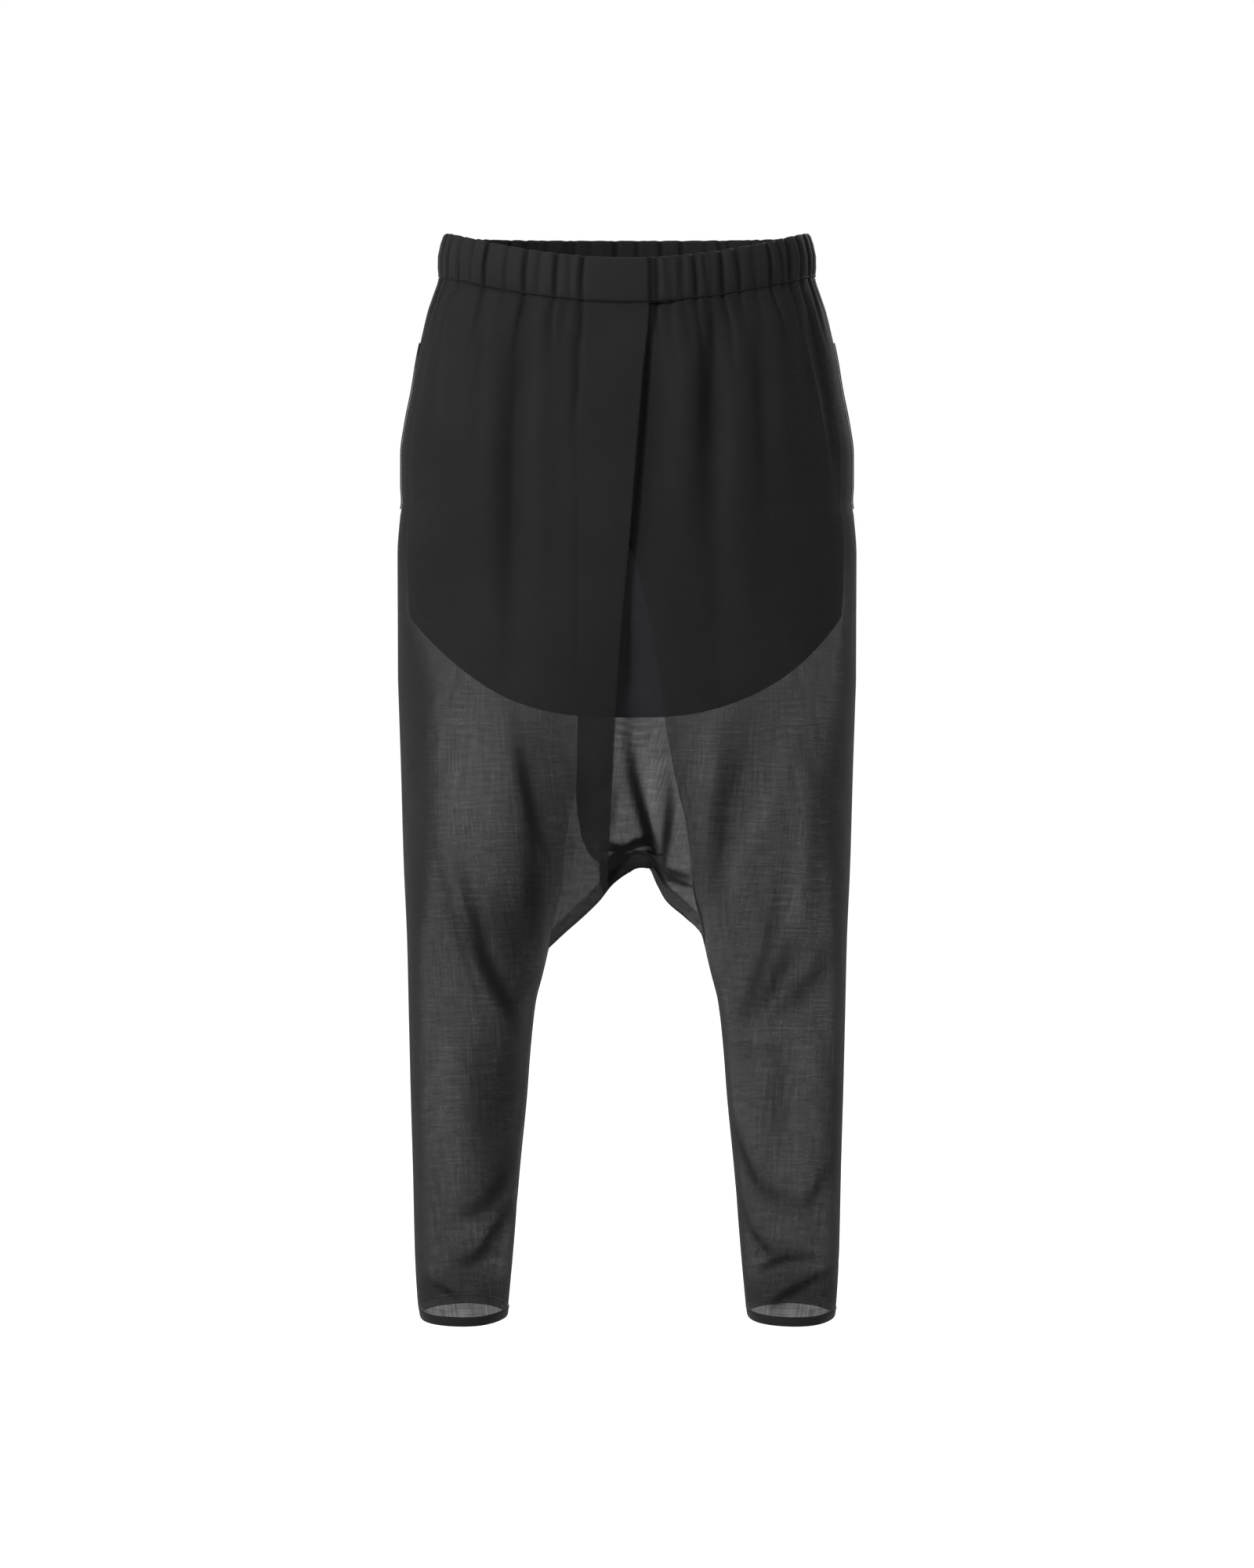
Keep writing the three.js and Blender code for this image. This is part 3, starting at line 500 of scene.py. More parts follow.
class Gathers:
    """The creases round the waist as (angle, strength, length), and how deep they go."""

    table = []
    angles = []
    band = 2.6
    body = 2.2

    @classmethod
    def lay_out(cls, back_count, band, body):
        """Front creases come from FRONT_GATHERS, and back_count uneven ones go round the back."""
        rows = [
            (-math.acos(x / half_width(BAND_BOTTOM)), strength, length)
            for x, strength, length in FRONT_GATHERS
        ]
        for k in range(back_count):
            angle = math.pi * (k + 0.5 + 0.28 * math.sin(2.4 * k)) / back_count
            strength = 0.6 + 0.35 * math.sin(1.7 * k + 0.6)
            rows.append((angle, strength, 35 + 65 * abs(math.sin(3.1 * k))))
        cls.table = sorted(rows)
        cls.angles = [row[0] for row in cls.table]
        cls.band, cls.body = band, body


def gather_depth(place, reach):
    """Depth of the gathers at a place, from about -1 in a crease to 0.6 on a ridge.

    reach is how far below the band the place lies, in millimetres; on the band it is 0.
    """
    face = FRONT if place.y < 0 else BACK
    angle = math.atan2(place.y / depth_of(face, place.z), place.x / half_width(place.z))
    nearest = bisect.bisect(Gathers.angles, angle)
    depth = 0.0
    for k in range(nearest - 4, nearest + 4):
        at, strength, length = Gathers.table[k % len(Gathers.table)]
        if reach >= length:
            continue
        lean = 0.006 * math.sin(place.z / 9 + 2.1 * k)
        away = ((angle - at - lean + math.pi) % (2 * math.pi) - math.pi) / GATHER_WIDTH
        fade = 1 - smooth(reach / length)
        ridge = math.exp(-((away / RIDGE_SPREAD) ** 2))
        depth += fade * strength * (0.5 * ridge - 1.3 * math.exp(-away * away))
    return depth


def edge_shade(place):
    """How much darker the cloth is above its hem, down the shins and beside its seams."""
    shade = HEM_DARK * smooth((HEM_DARK_TOP - place.z) / 15)
    shade += SHIN_DARK * smooth((SHIN_DARK_TOP - place.z) / 120)
    within = (inner_edge(place.z) + INNER_STRIP - abs(place.x)) / INNER_STRIP
    shade += INNER_DARK * smooth(within) * smooth((CROTCH_LEVEL - place.z) / 30)
    strip = right_strip(place.z) if place.x < 0 else left_strip(place.z)
    into = abs(place.x) - half_width(place.z) + strip
    if into > -4:
        line = math.exp(-((into / 1.3) ** 2))
        shade += side_shade(place.z) * smooth(into / 3)
        shade += SIDE_LINE_DARK * line * smooth((SIDE_LINE_TOP - place.z) / 40)
    return shade


def face_lift(face, place, more_creases=()):
    """Rise of a front or back panel at a place, from all that shapes it, and how much it bunches,
    which thickens it and paints shade into its colour.
    """
    front_tables, back_tables = (FRONT_FOLDS, FRONT_CREASES), (BACK_FOLDS, BACK_CREASES)
    folds, creases = front_tables if face == FRONT else back_tables
    rise, bunch_and_shade = crease_effect(creases, place.x, place.z)
    more_rise, more_bunch_and_shade = crease_effect(more_creases, place.x, place.z)
    rise += more_rise + fold_rise(folds, place.x, place.z)
    bunch_and_shade += more_bunch_and_shade
    if place.z > GATHERS_FADE_AT - FRONT_DIP:
        reach = BAND_BOTTOM + waist_tilt(place.y, face, BAND_BOTTOM) - place.z
        pucker = gather_depth(place, max(reach, 0))
        rise += Gathers.body * pucker
        bunch_and_shade -= GATHER_BUNCH_AND_SHADE * pucker
    return rise, bunch_and_shade + edge_shade(place)


def towards(face):
    """The outward direction that all places of a front or a back share."""
    return lambda place: Vector((0, face, 0))


def grid_normals(grid, closed, outward):
    """Normals of a grid of places, on the side that outward(place) points to."""
    columns = len(grid[0])
    normals = [[Vector() for _ in row] for row in grid]
    for j in range(len(grid) - 1):
        for i in range(columns if closed else columns - 1):
            k = (i + 1) % columns
            diagonal = grid[j + 1][k] - grid[j][i]
            normal = diagonal.cross(grid[j + 1][i] - grid[j][k])
            for row, column in ((j, i), (j, k), (j + 1, i), (j + 1, k)):
                normals[row][column] += normal
    facing = 0.0
    for row, line in zip(grid, normals):
        for place, normal in zip(row, line):
            facing += normal.dot(outward(place))
    sign = 1 if facing > 0 else -1
    for line in normals:
        for normal in line:
            normal.normalize()
            normal *= sign
    return normals


def moved(grid, normals, distance):
    """The grid with each place moved along its normal by distance(place, j, i)."""
    return [
        [place + normals[j][i] * distance(place, j, i) for i, place in enumerate(row)]
        for j, row in enumerate(grid)
    ]


def grid_mesh(name, grid, closed, outward, bunching_and_shade=lambda place, j, i: 0.0):
    """A sheet through a grid of places, with a UV map in metres and an attribute of how much the
    cloth bunches, which makes it denser and paints shade into its colour.
    """
    columns = len(grid[0])
    corners = [tuple(place * MM) for row in grid for place in row]
    quads, places = [], []
    for j in range(len(grid) - 1):
        for i in range(columns if closed else columns - 1):
            k = (i + 1) % columns
            row, below = j * columns, (j + 1) * columns
            quads.append((row + i, row + k, below + k, below + i))
            places.append(((j, i), (j, i + 1), (j + 1, i + 1), (j + 1, i)))
    a, b, c, d = (Vector(corners[v]) for v in quads[len(quads) // 2])
    middle = (a + c) / 2 / MM
    flipped = (c - a).cross(d - b).dot(outward(middle)) < 0
    if flipped:
        quads = [tuple(reversed(quad)) for quad in quads]
        places = [tuple(reversed(quad)) for quad in places]
    mesh = bpy.data.meshes.new(name)
    mesh.from_pydata(corners, [], quads)
    across = row_distances(grid, closed)
    uv = mesh.uv_layers.new(name="cloth")
    flat = []
    for quad in places:
        for j, i in quad:
            down = grid[j][i % columns].z * MM
            flat.extend((across[j][i] * MM, down))
    uv.data.foreach_set("uv", flat)
    values = [bunching_and_shade(place, j, i) for j, row in enumerate(grid) for i, place in enumerate(row)]
    mesh.attributes.new("bunching_and_shade", "FLOAT", "POINT").data.foreach_set("value", values)
    mesh.validate()
    for polygon in mesh.polygons:
        polygon.use_smooth = True
    piece = bpy.data.objects.new(name, mesh)
    bpy.context.scene.collection.objects.link(piece)
    return piece


def row_distances(grid, closed):
    """Distance along each row, with one more entry on a closed row."""
    table = []
    for row in grid:
        reach = [0.0]
        ring = row + row[:1] if closed else row
        for before, after in zip(ring, ring[1:]):
            reach.append(reach[-1] + (after - before).length)
        table.append(reach)
    return table


def select_only(piece):
    bpy.ops.object.select_all(action="DESELECT")
    piece.select_set(True)
    bpy.context.view_layer.objects.active = piece


def apply_modifier(piece, kind, **settings):
    """Adds a modifier with its settings and applies it."""
    select_only(piece)
    modifier = piece.modifiers.new(kind.title(), kind)
    for key, value in settings.items():
        setattr(modifier, key, value)
    bpy.ops.object.modifier_apply(modifier=modifier.name)


def thicken(piece, wall):
    """Gives a sheet its thickness, inwards from its outer face. wall is in millimetres."""
    apply_modifier(piece, "SOLIDIFY", thickness=wall * MM, offset=-1.0)


def close_section(piece):
    """Joins a ring's section where it starts and ends, and turns its faces outwards."""
    apply_modifier(piece, "WELD", merge_threshold=MERGE_DISTANCE * MM)
    select_only(piece)
    bpy.ops.object.mode_set(mode="EDIT")
    bpy.ops.mesh.select_all(action="SELECT")
    bpy.ops.mesh.normals_make_consistent(inside=False)
    bpy.ops.object.mode_set(mode="OBJECT")


def linear(hex_colour):
    """An sRGB hex colour as linear RGBA."""
    values = []
    for i in (1, 3, 5):
        share = int(hex_colour[i : i + 2], 16) / 255
        values.append(share / 12.92 if share <= 0.04045 else ((share + 0.055) / 1.055) ** 2.4)
    return (*values, 1.0)


def add_node(tree, kind, settings=None, **inputs):
    """Adds a node. settings are its properties; each input is a value or another's output.

    An input is named as in Blender with _ for a space, or n and its number.
    """
    node = tree.nodes.new(kind)
    for key, value in (settings or {}).items():
        setattr(node, key, value)
    for key, value in inputs.items():
        numbered = key[0] == "n" and key[1:].isdigit()
        socket = node.inputs[int(key[1:]) if numbered else key.replace("_", " ")]
        if isinstance(value, bpy.types.NodeSocket):
            tree.links.new(value, socket)
        else:
            socket.default_value = value
    return node


def new_material(name):
    """An empty material, its node tree and its output node."""
    material = bpy.data.materials.new(name)
    material.use_nodes = True
    tree = material.node_tree
    tree.nodes.clear()
    return material, tree, tree.nodes.new("ShaderNodeOutputMaterial")


# A woven sheet is drawn as uneven threads: real chiffon has one every 0.3 mm, too fine to
# show, so the slubs here are drawn about 2 mm apart.
THREAD_STEP = 2.0 * MM
SLUB_LENGTH = 30 * MM
THREAD_CONTRAST = 0.42
# Slow unevenness of the dye
CLOUD_SIZE = 60 * MM
# Painted shade: as the cloth bunches, in its creases and wherever else, its colour sinks towards a
# darker copy
BUNCH_PAINTED_SHADE = 2.6


def add_weave(tree):
    """Uneven warp and weft threads on the cloth's own UV map, about 0.5 on average."""
    uv = add_node(tree, "ShaderNodeUVMap", {"uv_map": "cloth"}).outputs["UV"]
    threads = []
    for scale in ((1 / SLUB_LENGTH, 1 / THREAD_STEP, 1), (1 / THREAD_STEP, 1 / SLUB_LENGTH, 1)):
        mapping = add_node(tree, "ShaderNodeMapping", Vector=uv, Scale=scale)
        noise = add_node(tree, "ShaderNodeTexNoise", {"noise_dimensions": "2D"},
                         Vector=mapping.outputs[0], Scale=1.0, Detail=2.0, Roughness=0.6)
        threads.append(noise.outputs["Fac"])
    both = add_node(tree, "ShaderNodeMath", {"operation": "ADD"}, n0=threads[0], n1=threads[1])
    half = add_node(tree, "ShaderNodeMath", {"operation": "MULTIPLY"}, n0=both.outputs[0], n1=0.5)
    return half.outputs[0]


def tinted(colour, strength):
    """A linear colour made lighter or darker, and opaque."""
    return [min(1.0, c * strength) for c in colour[:3]] + [1.0]


def cloth_material(name, colour, opacity, roughness, sheen, thread_contrast):
    """A woven cloth. opacity is what one face of it stops, and creases add to it; where the cloth
    bunches, its colour is also painted darker as shade.
    """
    material, tree, output = new_material(name)
    weave = add_weave(tree)
    bump = add_node(tree, "ShaderNodeBump", Height=weave, Strength=0.35, Distance=0.0003)
    coordinates = add_node(tree, "ShaderNodeTexCoord").outputs["Object"]
    cloud = add_node(tree, "ShaderNodeTexNoise",
                     Vector=coordinates, Scale=1 / CLOUD_SIZE, Detail=3.0)
    tint = add_node(tree, "ShaderNodeMix", {"data_type": "RGBA"}, n0=cloud.outputs["Fac"],
                    n6=tinted(colour, 0.75), n7=tinted(colour, 1.35))
    bunch_and_shade = add_node(tree, "ShaderNodeAttribute", {"attribute_name": "bunching_and_shade"}).outputs["Fac"]
    # Painted shade: the more the cloth bunches, the more its colour is mixed towards a darker copy
    painted_shade = add_node(tree, "ShaderNodeMath", {"operation": "MULTIPLY", "use_clamp": True},
                      n0=bunch_and_shade, n1=BUNCH_PAINTED_SHADE)
    tint = add_node(tree, "ShaderNodeMix", {"data_type": "RGBA"}, n0=painted_shade.outputs[0],
                    n6=tint.outputs[2], n7=tinted(colour, 0.15))
    shader = add_node(tree, "ShaderNodeBsdfPrincipled", Base_Color=tint.outputs[2],
                      Roughness=roughness, IOR=1.45, Normal=bump.outputs["Normal"])
    shader.inputs["Specular IOR Level"].default_value = 0.06
    shader.inputs["Sheen Weight"].default_value = sheen
    shader.inputs["Sheen Roughness"].default_value = 0.5
    if opacity < 1:
        thick = add_node(tree, "ShaderNodeMath", {"operation": "ADD"},
                         n0=bunch_and_shade, n1=opacity - thread_contrast / 2)
        alpha = add_node(tree, "ShaderNodeMath", {"operation": "MULTIPLY_ADD", "use_clamp": True},
                         n0=weave, n1=thread_contrast, n2=thick.outputs[0])
        tree.links.new(alpha.outputs[0], shader.inputs["Alpha"])
    tree.links.new(shader.outputs[0], output.inputs[0])
    return material


def finish_piece(piece, material, slot, *nodes):
    """Gives a piece its material, its body and the solids it stands for; its slot argument is not
    used.
    """
    piece.data.materials.clear()
    piece.data.materials.append(material)
    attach(piece, "root")
    if nodes:
        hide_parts(*nodes)


materials = {}


def make_materials():
    """Each cloth of the garment once."""
    looks = bpy.context.scene.pants_looks
    chiffon = looks.chiffon
    # Silk-like chiffon: a matt, open plain weave of fine crepe yarn, sheer in one layer
    materials["chiffon"] = cloth_material(
        "black_chiffon", chiffon, looks.opacity, 0.75, 0.02, THREAD_CONTRAST)
    # The same weave, more open, so that the gussets look paler; its colour is also a lighter copy
    # of the chiffon's, which is painted light
    materials["gusset"] = cloth_material(
        "open_chiffon", looks.gusset, looks.gusset_opacity, 0.75, 0.02, THREAD_CONTRAST)
    # Two layers sewn flat: nearly opaque
    materials["doubled"] = cloth_material("doubled_chiffon", chiffon, 0.9, 0.75, 0.02, 0.1)
    # Chiffon gathered over elastic: opaque, with the same dry surface
    materials["band"] = cloth_material("gathered_chiffon", looks.band, 1.0, 0.8, 0.01, 0.0)
    # Viscose lining: smooth and opaque; its stitched hem is darkened with painted shade
    materials["lining"] = cloth_material("viscose_lining", looks.lining, 1.0, 0.6, 0.02, 0.0)
    # Spun polyester sewing thread: a little smoother than the cloth
    materials["thread"] = cloth_material("polyester_thread", looks.thread, 1.0, 0.5, 0.02, 0.0)


def right_front_end(z):
    wrap_end = WRAP_EDGE[-1][0]
    if z > arch_height(wrap_edge(wrap_end) / CROTCH_HALF_WIDTH):
        return wrap_edge(z)
    return arch_x(RIGHT, z) if z > CROTCH_LEVEL else RIGHT * inner_edge(z)


def left_front_end(z):
    if z > OVERLAP_SEAM_TOP:
        return return_edge(z)
    share = (OVERLAP_SEAM_TOP - z) / (OVERLAP_SEAM_TOP - GUSSET_TOP)
    if share < 1:
        return mix(return_edge(z), wrap_edge(GUSSET_TOP), share)
    return max(inner_edge(z), wrap_edge(GUSSET_TOP) * (2 - share))


def back_end(side):
    return lambda z: side * inner_edge(z) if z < GUSSET_TOP else 0.0


def no_setback(place):
    return 0.0


def under_wrap(place):
    """How far the left front lies behind the wrap; it comes forward again beside it."""
    beyond = place.x - wrap_edge(place.z) - UNDER_START
    return UNDER_SETBACK * (1 - smooth(beyond / (UNDER_BLEND - UNDER_START)))


def seam_bunch(reach, i, z):
    """Doubled cloth within the seam allowance, with the overlocked edge darkest."""
    edge = min(reach[i], reach[-1] - reach[i])
    line = math.exp(-(((edge - SEAM_ALLOWANCE) / 1.1) ** 2))
    open_leg = 0.15 + 0.85 * smooth((CROTCH_LEVEL - z) / 30)
    low = smooth((-720 - z) / 90)
    flat = (0.08 + 0.1 * low) * (1 - smooth((edge - SEAM_ALLOWANCE) / 1.5))
    return open_leg * (flat + 0.2 * line + 0.14 * (1 - smooth(edge / 3)))


def face_piece(name, face, grid, wall, setback=no_setback, seams=True, creases=()):
    """A panel of the front or back, with its folds, creases and seam allowances."""
    outward = towards(face)
    normals = grid_normals(grid, False, outward)
    effects = [[face_lift(face, place, creases) for place in row] for row in grid]
    shaped = moved(grid, normals, lambda place, j, i: effects[j][i][0] - setback(place))
    distances = row_distances(grid, False)

    def bunching_and_shade(place, j, i):
        return effects[j][i][1] + (seam_bunch(distances[j], i, place.z) if seams else 0.0)

    piece = grid_mesh(name + "_cloth", shaped, False, outward, bunching_and_shade)
    thicken(piece, wall)
    return piece


def panel_grid(side, face, end_at):
    return [
        resample(row_path(side, face, z, end_at(z)), PANEL_COLUMNS)
        for z in heights(BAND_BOTTOM, LEG_END)
    ]


class PantsSizes(bpy.types.PropertyGroup):
    """Sizes of the cloth that a user would change."""

    gather_count: bpy.props.IntProperty(
        name="Back gathers", description="Gathers round the back of the waistband",
        default=38, min=12, max=90)
    gather_depth: bpy.props.FloatProperty(
        name="Gather depth", description="Depth of the waistband's gathers",
        default=2.6 * MM, unit="LENGTH")
    pucker_depth: bpy.props.FloatProperty(
        name="Pucker depth", description="Depth of the gathers below the waistband",
        default=2.2 * MM, unit="LENGTH")
    cloth_wall: bpy.props.FloatProperty(
        name="Cloth", description="Modelled thickness of the chiffon",
        default=0.5 * MM, unit="LENGTH")
    stitch_step: bpy.props.FloatProperty(
        name="Stitch", description="Distance from one stitch to the next",
        default=3.2 * MM, unit="LENGTH")


class PantsLooks(bpy.types.PropertyGroup):
    """Colours and sheerness of the cloth."""

    chiffon: bpy.props.FloatVectorProperty(
        name="Chiffon", description="Colour of the chiffon", default=linear("#0f0f10"), size=4,
        subtype="COLOR", min=0, max=1)
    # The gussets' colour is the chiffon's made lighter: painted light
    gusset: bpy.props.FloatVectorProperty(
        name="Gusset", description="Colour of the more open chiffon of the gussets",
        default=linear("#131315"), size=4, subtype="COLOR", min=0, max=1)
    band: bpy.props.FloatVectorProperty(
        name="Waistband", description="Colour of the gathered band", default=linear("#0c0c0d"),
        size=4, subtype="COLOR", min=0, max=1)
    lining: bpy.props.FloatVectorProperty(
        name="Lining", description="Colour of the lining", default=linear("#0b0b0c"), size=4,
        subtype="COLOR", min=0, max=1)
    thread: bpy.props.FloatVectorProperty(
        name="Thread", description="Colour of the sewing thread", default=linear("#0b0b0c"), size=4,
        subtype="COLOR", min=0, max=1)
    opacity: bpy.props.FloatProperty(
        name="Opacity", description="Light that one face of the chiffon stops", default=0.58,
        subtype="FACTOR", min=0, max=1)
    gusset_opacity: bpy.props.FloatProperty(
        name="Gusset opacity", description="Light that one face of the gusset stops", default=0.5,
        subtype="FACTOR", min=0, max=1)


class PANTS_OT_panels(bpy.types.Operator):
    """Fronts and backs, from the waistband's seam to the leg's hem"""

    bl_idname = "pants.panels"
    bl_label = "Fronts and backs"

    def execute(self, context):
        wall = context.scene.pants_sizes.cloth_wall / MM
        plan = [
            ("front_right", RIGHT, FRONT, right_front_end, no_setback),
            ("front_left", LEFT, FRONT, left_front_end, under_wrap),
            ("back_right", RIGHT, BACK, back_end(RIGHT), no_setback),
            ("back_left", LEFT, BACK, back_end(LEFT), no_setback),
        ]
        for name, side, face, end_at, setback in plan:
            # The left front also gets the creases and painted shadow beside the wrap's edge
            creases = UNDER_WRAP_CREASES_AND_SHADOW if name == "front_left" else ()
            grid = panel_grid(side, face, end_at)
            piece = face_piece(name, face, grid, wall, setback, creases=creases)
            finish_piece(piece, materials["chiffon"], "panel_chiffon", name)
        return {"FINISHED"}


class PANTS_OT_wrap_return(bpy.types.Operator):
    """The strip folded back behind the wrap's edge"""

    bl_idname = "pants.wrap_return"
    bl_label = "Wrap return"

    def execute(self, context):
        grid = []
        for z in heights(BAND_BOTTOM, RETURN_END):
            outer = wrap_edge(z) - RETURN_INSET
            places = []
            for column in range(RETURN_COLUMNS + 1):
                x = mix(outer, return_edge(z), column / RETURN_COLUMNS)
                places.append(surface_place(FRONT, x, z))
            grid.append(places)
        wall = context.scene.pants_sizes.cloth_wall / MM
        piece = face_piece("pleat_return", FRONT, grid, wall, lambda place: RETURN_SETBACK,
                           seams=False, creases=RETURN_CREASES)
        finish_piece(piece, materials["chiffon"], "panel_chiffon", "pleat_return")
        return {"FINISHED"}


def front_gusset_place(row_z, share):
    """share runs from the turned-back strip's edge to the seam with the left front."""
    right = wrap_edge(row_z) if row_z == GUSSET_TOP else inner_edge(row_z)
    level = mix(return_edge(row_z), right, share)
    if row_z == GUSSET_TOP:
        return surface_place(FRONT, level, mix(OVERLAP_SEAM_TOP, GUSSET_TOP, share))
    if row_z >= RIM_ROWS_TOP:
        return surface_place(FRONT, level, row_z)
    fall = (RIM_ROWS_TOP - row_z) / (RIM_ROWS_TOP - CROTCH_LEVEL)
    rim = mix(RIM_START, 1, share)
    above = mix(return_edge(row_z), inner_edge(RIM_ROWS_TOP), share)
    x = mix(mix(above, rim * CROTCH_HALF_WIDTH, fall), right, share**3)
    z = mix(RIM_ROWS_TOP, arch_height(rim), fall)
    if row_z > CROTCH_LEVEL:
        return surface_place(FRONT, x, z)
    return Vector((rim * CROTCH_HALF_WIDTH, 0, z))


def gusset_effect(place):
    """Rise of a gusset at a place and how much it bunches, which thickens it and paints shade into
    its colour, with fine ripples in its upper part.
    """
    rise, bunch_and_shade = crease_effect(GUSSET_CREASES, place.x, place.z)
    seam_rise, seam = crease_effect(CROTCH_SEAMS, place.x, place.z)
    ripple = math.sin(place.z * 0.85 + 2.2 * math.sin(place.x / 6))
    ripple *= 1 - smooth((-380 - place.z) / 60)
    return rise + seam_rise + 0.3 * ripple, bunch_and_shade + seam + 0.05 * ripple


def rim_bunch(height, x):
    """The rim is turned up and stitched in a band, a little lighter on the left leg's side."""
    line = math.exp(-(((height - RIM_BAND) / 1.4) ** 2))
    doubled = (0.2 - 0.09 * smooth((x - 18) / 12)) * (1 - smooth((height - RIM_BAND) / 2))
    return doubled + 0.16 * line + 0.2 * (1 - smooth(height / 3))


class PANTS_OT_gussets(bpy.types.Operator):
    """The wedge gussets between the legs, front and back"""

    bl_idname = "pants.gussets"
    bl_label = "Gussets"

    def execute(self, context):
        rows = heights(GUSSET_TOP, CROTCH_LEVEL, GUSSET_STEP)
        columns = range(GUSSET_COLUMNS + 1)
        front = [[front_gusset_place(z, i / GUSSET_COLUMNS) for i in columns] for z in rows]
        back = []
        for z in heights(BACK_GUSSET_TOP, CROTCH_LEVEL, GUSSET_STEP):
            down = (GUSSET_TOP - z) / (GUSSET_TOP - CROTCH_LEVEL)
            back.append([gusset_place(BACK, 2 * i / GUSSET_COLUMNS - 1, down) for i in columns])
        for name, face, grid in (("gusset_front", FRONT, front), ("gusset_back", BACK, back)):
            self.sew(context, name, face, grid)
        return {"FINISHED"}

    def sew(self, context, name, face, grid):
        outward = towards(face)
        normals = grid_normals(grid, False, outward)
        setback = under_wrap if face == FRONT else no_setback
        last = len(grid) - 1
        effects = [[gusset_effect(place) for place in row] for row in grid]

        def lift(place, j, i):
            return (effects[j][i][0] - setback(place)) * smooth((last - j) / 12)

        def bunching_and_shade(place, j, i):
            return effects[j][i][1] + rim_bunch((grid[last][i] - grid[j][i]).length, place.x)

        piece = grid_mesh(name + "_cloth", moved(grid, normals, lift), False, outward, bunching_and_shade)
        thicken(piece, context.scene.pants_sizes.cloth_wall / MM)
        finish_piece(piece, materials["gusset"], "gusset_chiffon", name)


def band_place(angle, z):
    face = FRONT if math.sin(angle) < 0 else BACK
    tilt = (-FRONT_DIP if face == FRONT else BACK_RISE) * math.sin(angle) ** 2
    x = half_width(z) * math.cos(angle)
    return Vector((x, depth_of(face, z) * math.sin(angle), z + tilt))


def is_flat(place):
    """Whether a place of the band is on its flat stretch beside the wrap's edge."""
    return place.y < 0 and FLAT_FROM < place.x < FLAT_TO


class PANTS_OT_waistband(bpy.types.Operator):
    """The band: chiffon folded over a wide elastic and gathered by it"""

    bl_idname = "pants.waistband"
    bl_label = "Waistband"

    # Section of the band: share of its height, distance in from the outer face, swelling
    SECTION = [
        (0.00, 0.6, 0.3), (0.06, 0.0, 0.5), (0.22, -0.3, 0.9), (0.5, -0.5, 1.0), (0.78, -0.3, 0.95),
        (0.93, 0.0, 0.8), (0.985, 0.5, 0.7), (1.0, 1.3, 0.6), (0.985, 2.1, 0.6), (0.93, 2.6, 0.8),
        (0.6, 2.8, 0.9), (0.3, 2.8, 0.9), (0.05, 2.6, 0.6), (0.0, 2.0, 0.3),
    ]

    def execute(self, context):
        angles = [2 * math.pi * i / BAND_COLUMNS for i in range(BAND_COLUMNS)]
        section = self.SECTION + self.SECTION[:1]
        grid = []
        for share, inset, swell in section:
            z = mix(BAND_BOTTOM, BAND_TOP, share)
            grid.append([self.place(angle, z, share, inset, swell) for angle in angles])
        # Painted shade: the band is opaque, so its bunching only darkens its colour, deepest in the
        # gathers' creases and over the band's inner face
        creases = [self.crease(place) for place in grid[0]]
        shades = [0.16 if inset > INNER_FACE else 0.0 for _, inset, _ in section]
        band = grid_mesh("waistband_cloth", grid, True, lambda place: Vector((place.x, place.y, 0)),
                         lambda place, j, i: 0.5 * creases[i] + shades[j])
        close_section(band)
        finish_piece(band, materials["band"], "waistband_chiffon", "waistband")
        return {"FINISHED"}

    def crease(self, place):
        """How deep a crease is at a place, with a sharp one where the wrap's edge starts."""
        depth = 0.0 if is_flat(place) else max(-gather_depth(place, 0), 0)
        if place.y < 0:
            depth = max(depth, 1.4 * math.exp(-(((place.x - FLAT_TO) / 1.6) ** 2)))
        return depth

    def place(self, angle, z, share, inset, swell):
        place = band_place(angle, z)
        radial = Vector((place.x / half_width(z) ** 2, place.y / front_depth(z) ** 2, 0))
        if is_flat(place):
            rise = FLAT_RISE
        else:
            wave = gather_depth(place, 0)
            rise = Gathers.band * swell * (-wave * 0.6 if inset > INNER_FACE else wave + 0.4)
            top, bottom = smooth((share - 0.7) / 0.3), smooth((0.3 - share) / 0.3)
            place.z += 0.8 * wave * top + 0.6 * wave * bottom
        return place + radial.normalized() * (rise - inset)


def lining_inset(face, x, z):
    """How far the lining hangs inside the outer cloth."""
    centre = math.exp(-((x / 70) ** 2))
    extra = (LINING_INSET_FRONT - LINING_INSET_SIDE) * centre if face == FRONT else 0
    low = LINING_INSET_LOW * smooth((z - GUSSET_TOP) / (LINING_DROP - GUSSET_TOP))
    hang = smooth((BAND_BOTTOM - z) / 80)
    return mix(LINING_INSET_SIDE + extra, LINING_INSET, hang) + low


def lining_hem(x):
    """Height of the lining's curved lower edge."""
    return LINING_DROP + LINING_SWEEP * (abs(x) / LINING_SWEEP_WIDTH) ** LINING_SWEEP_POWER


def lining_grid(face, height_of, rows):
    """Rows from side to side, where height_of(x, share) is the height of a row at x."""
    grid = []
    for row in range(rows + 1):
        places = []
        for column in range(LINING_COLUMNS + 1):
            angle = math.pi * column / LINING_COLUMNS
            z = height_of(LINING_SWEEP_WIDTH * math.cos(angle), row / rows)
            inset = lining_inset(face, half_width(z) * math.cos(angle), z)
            x = (half_width(z) - inset) * math.cos(angle)
            outer = face * depth_of(face, z) * math.sin(angle)
            y = outer - face * inset * math.sin(angle)
            places.append(Vector((x, y, z + waist_tilt(outer, face, z))))
        grid.append(places)
    return grid


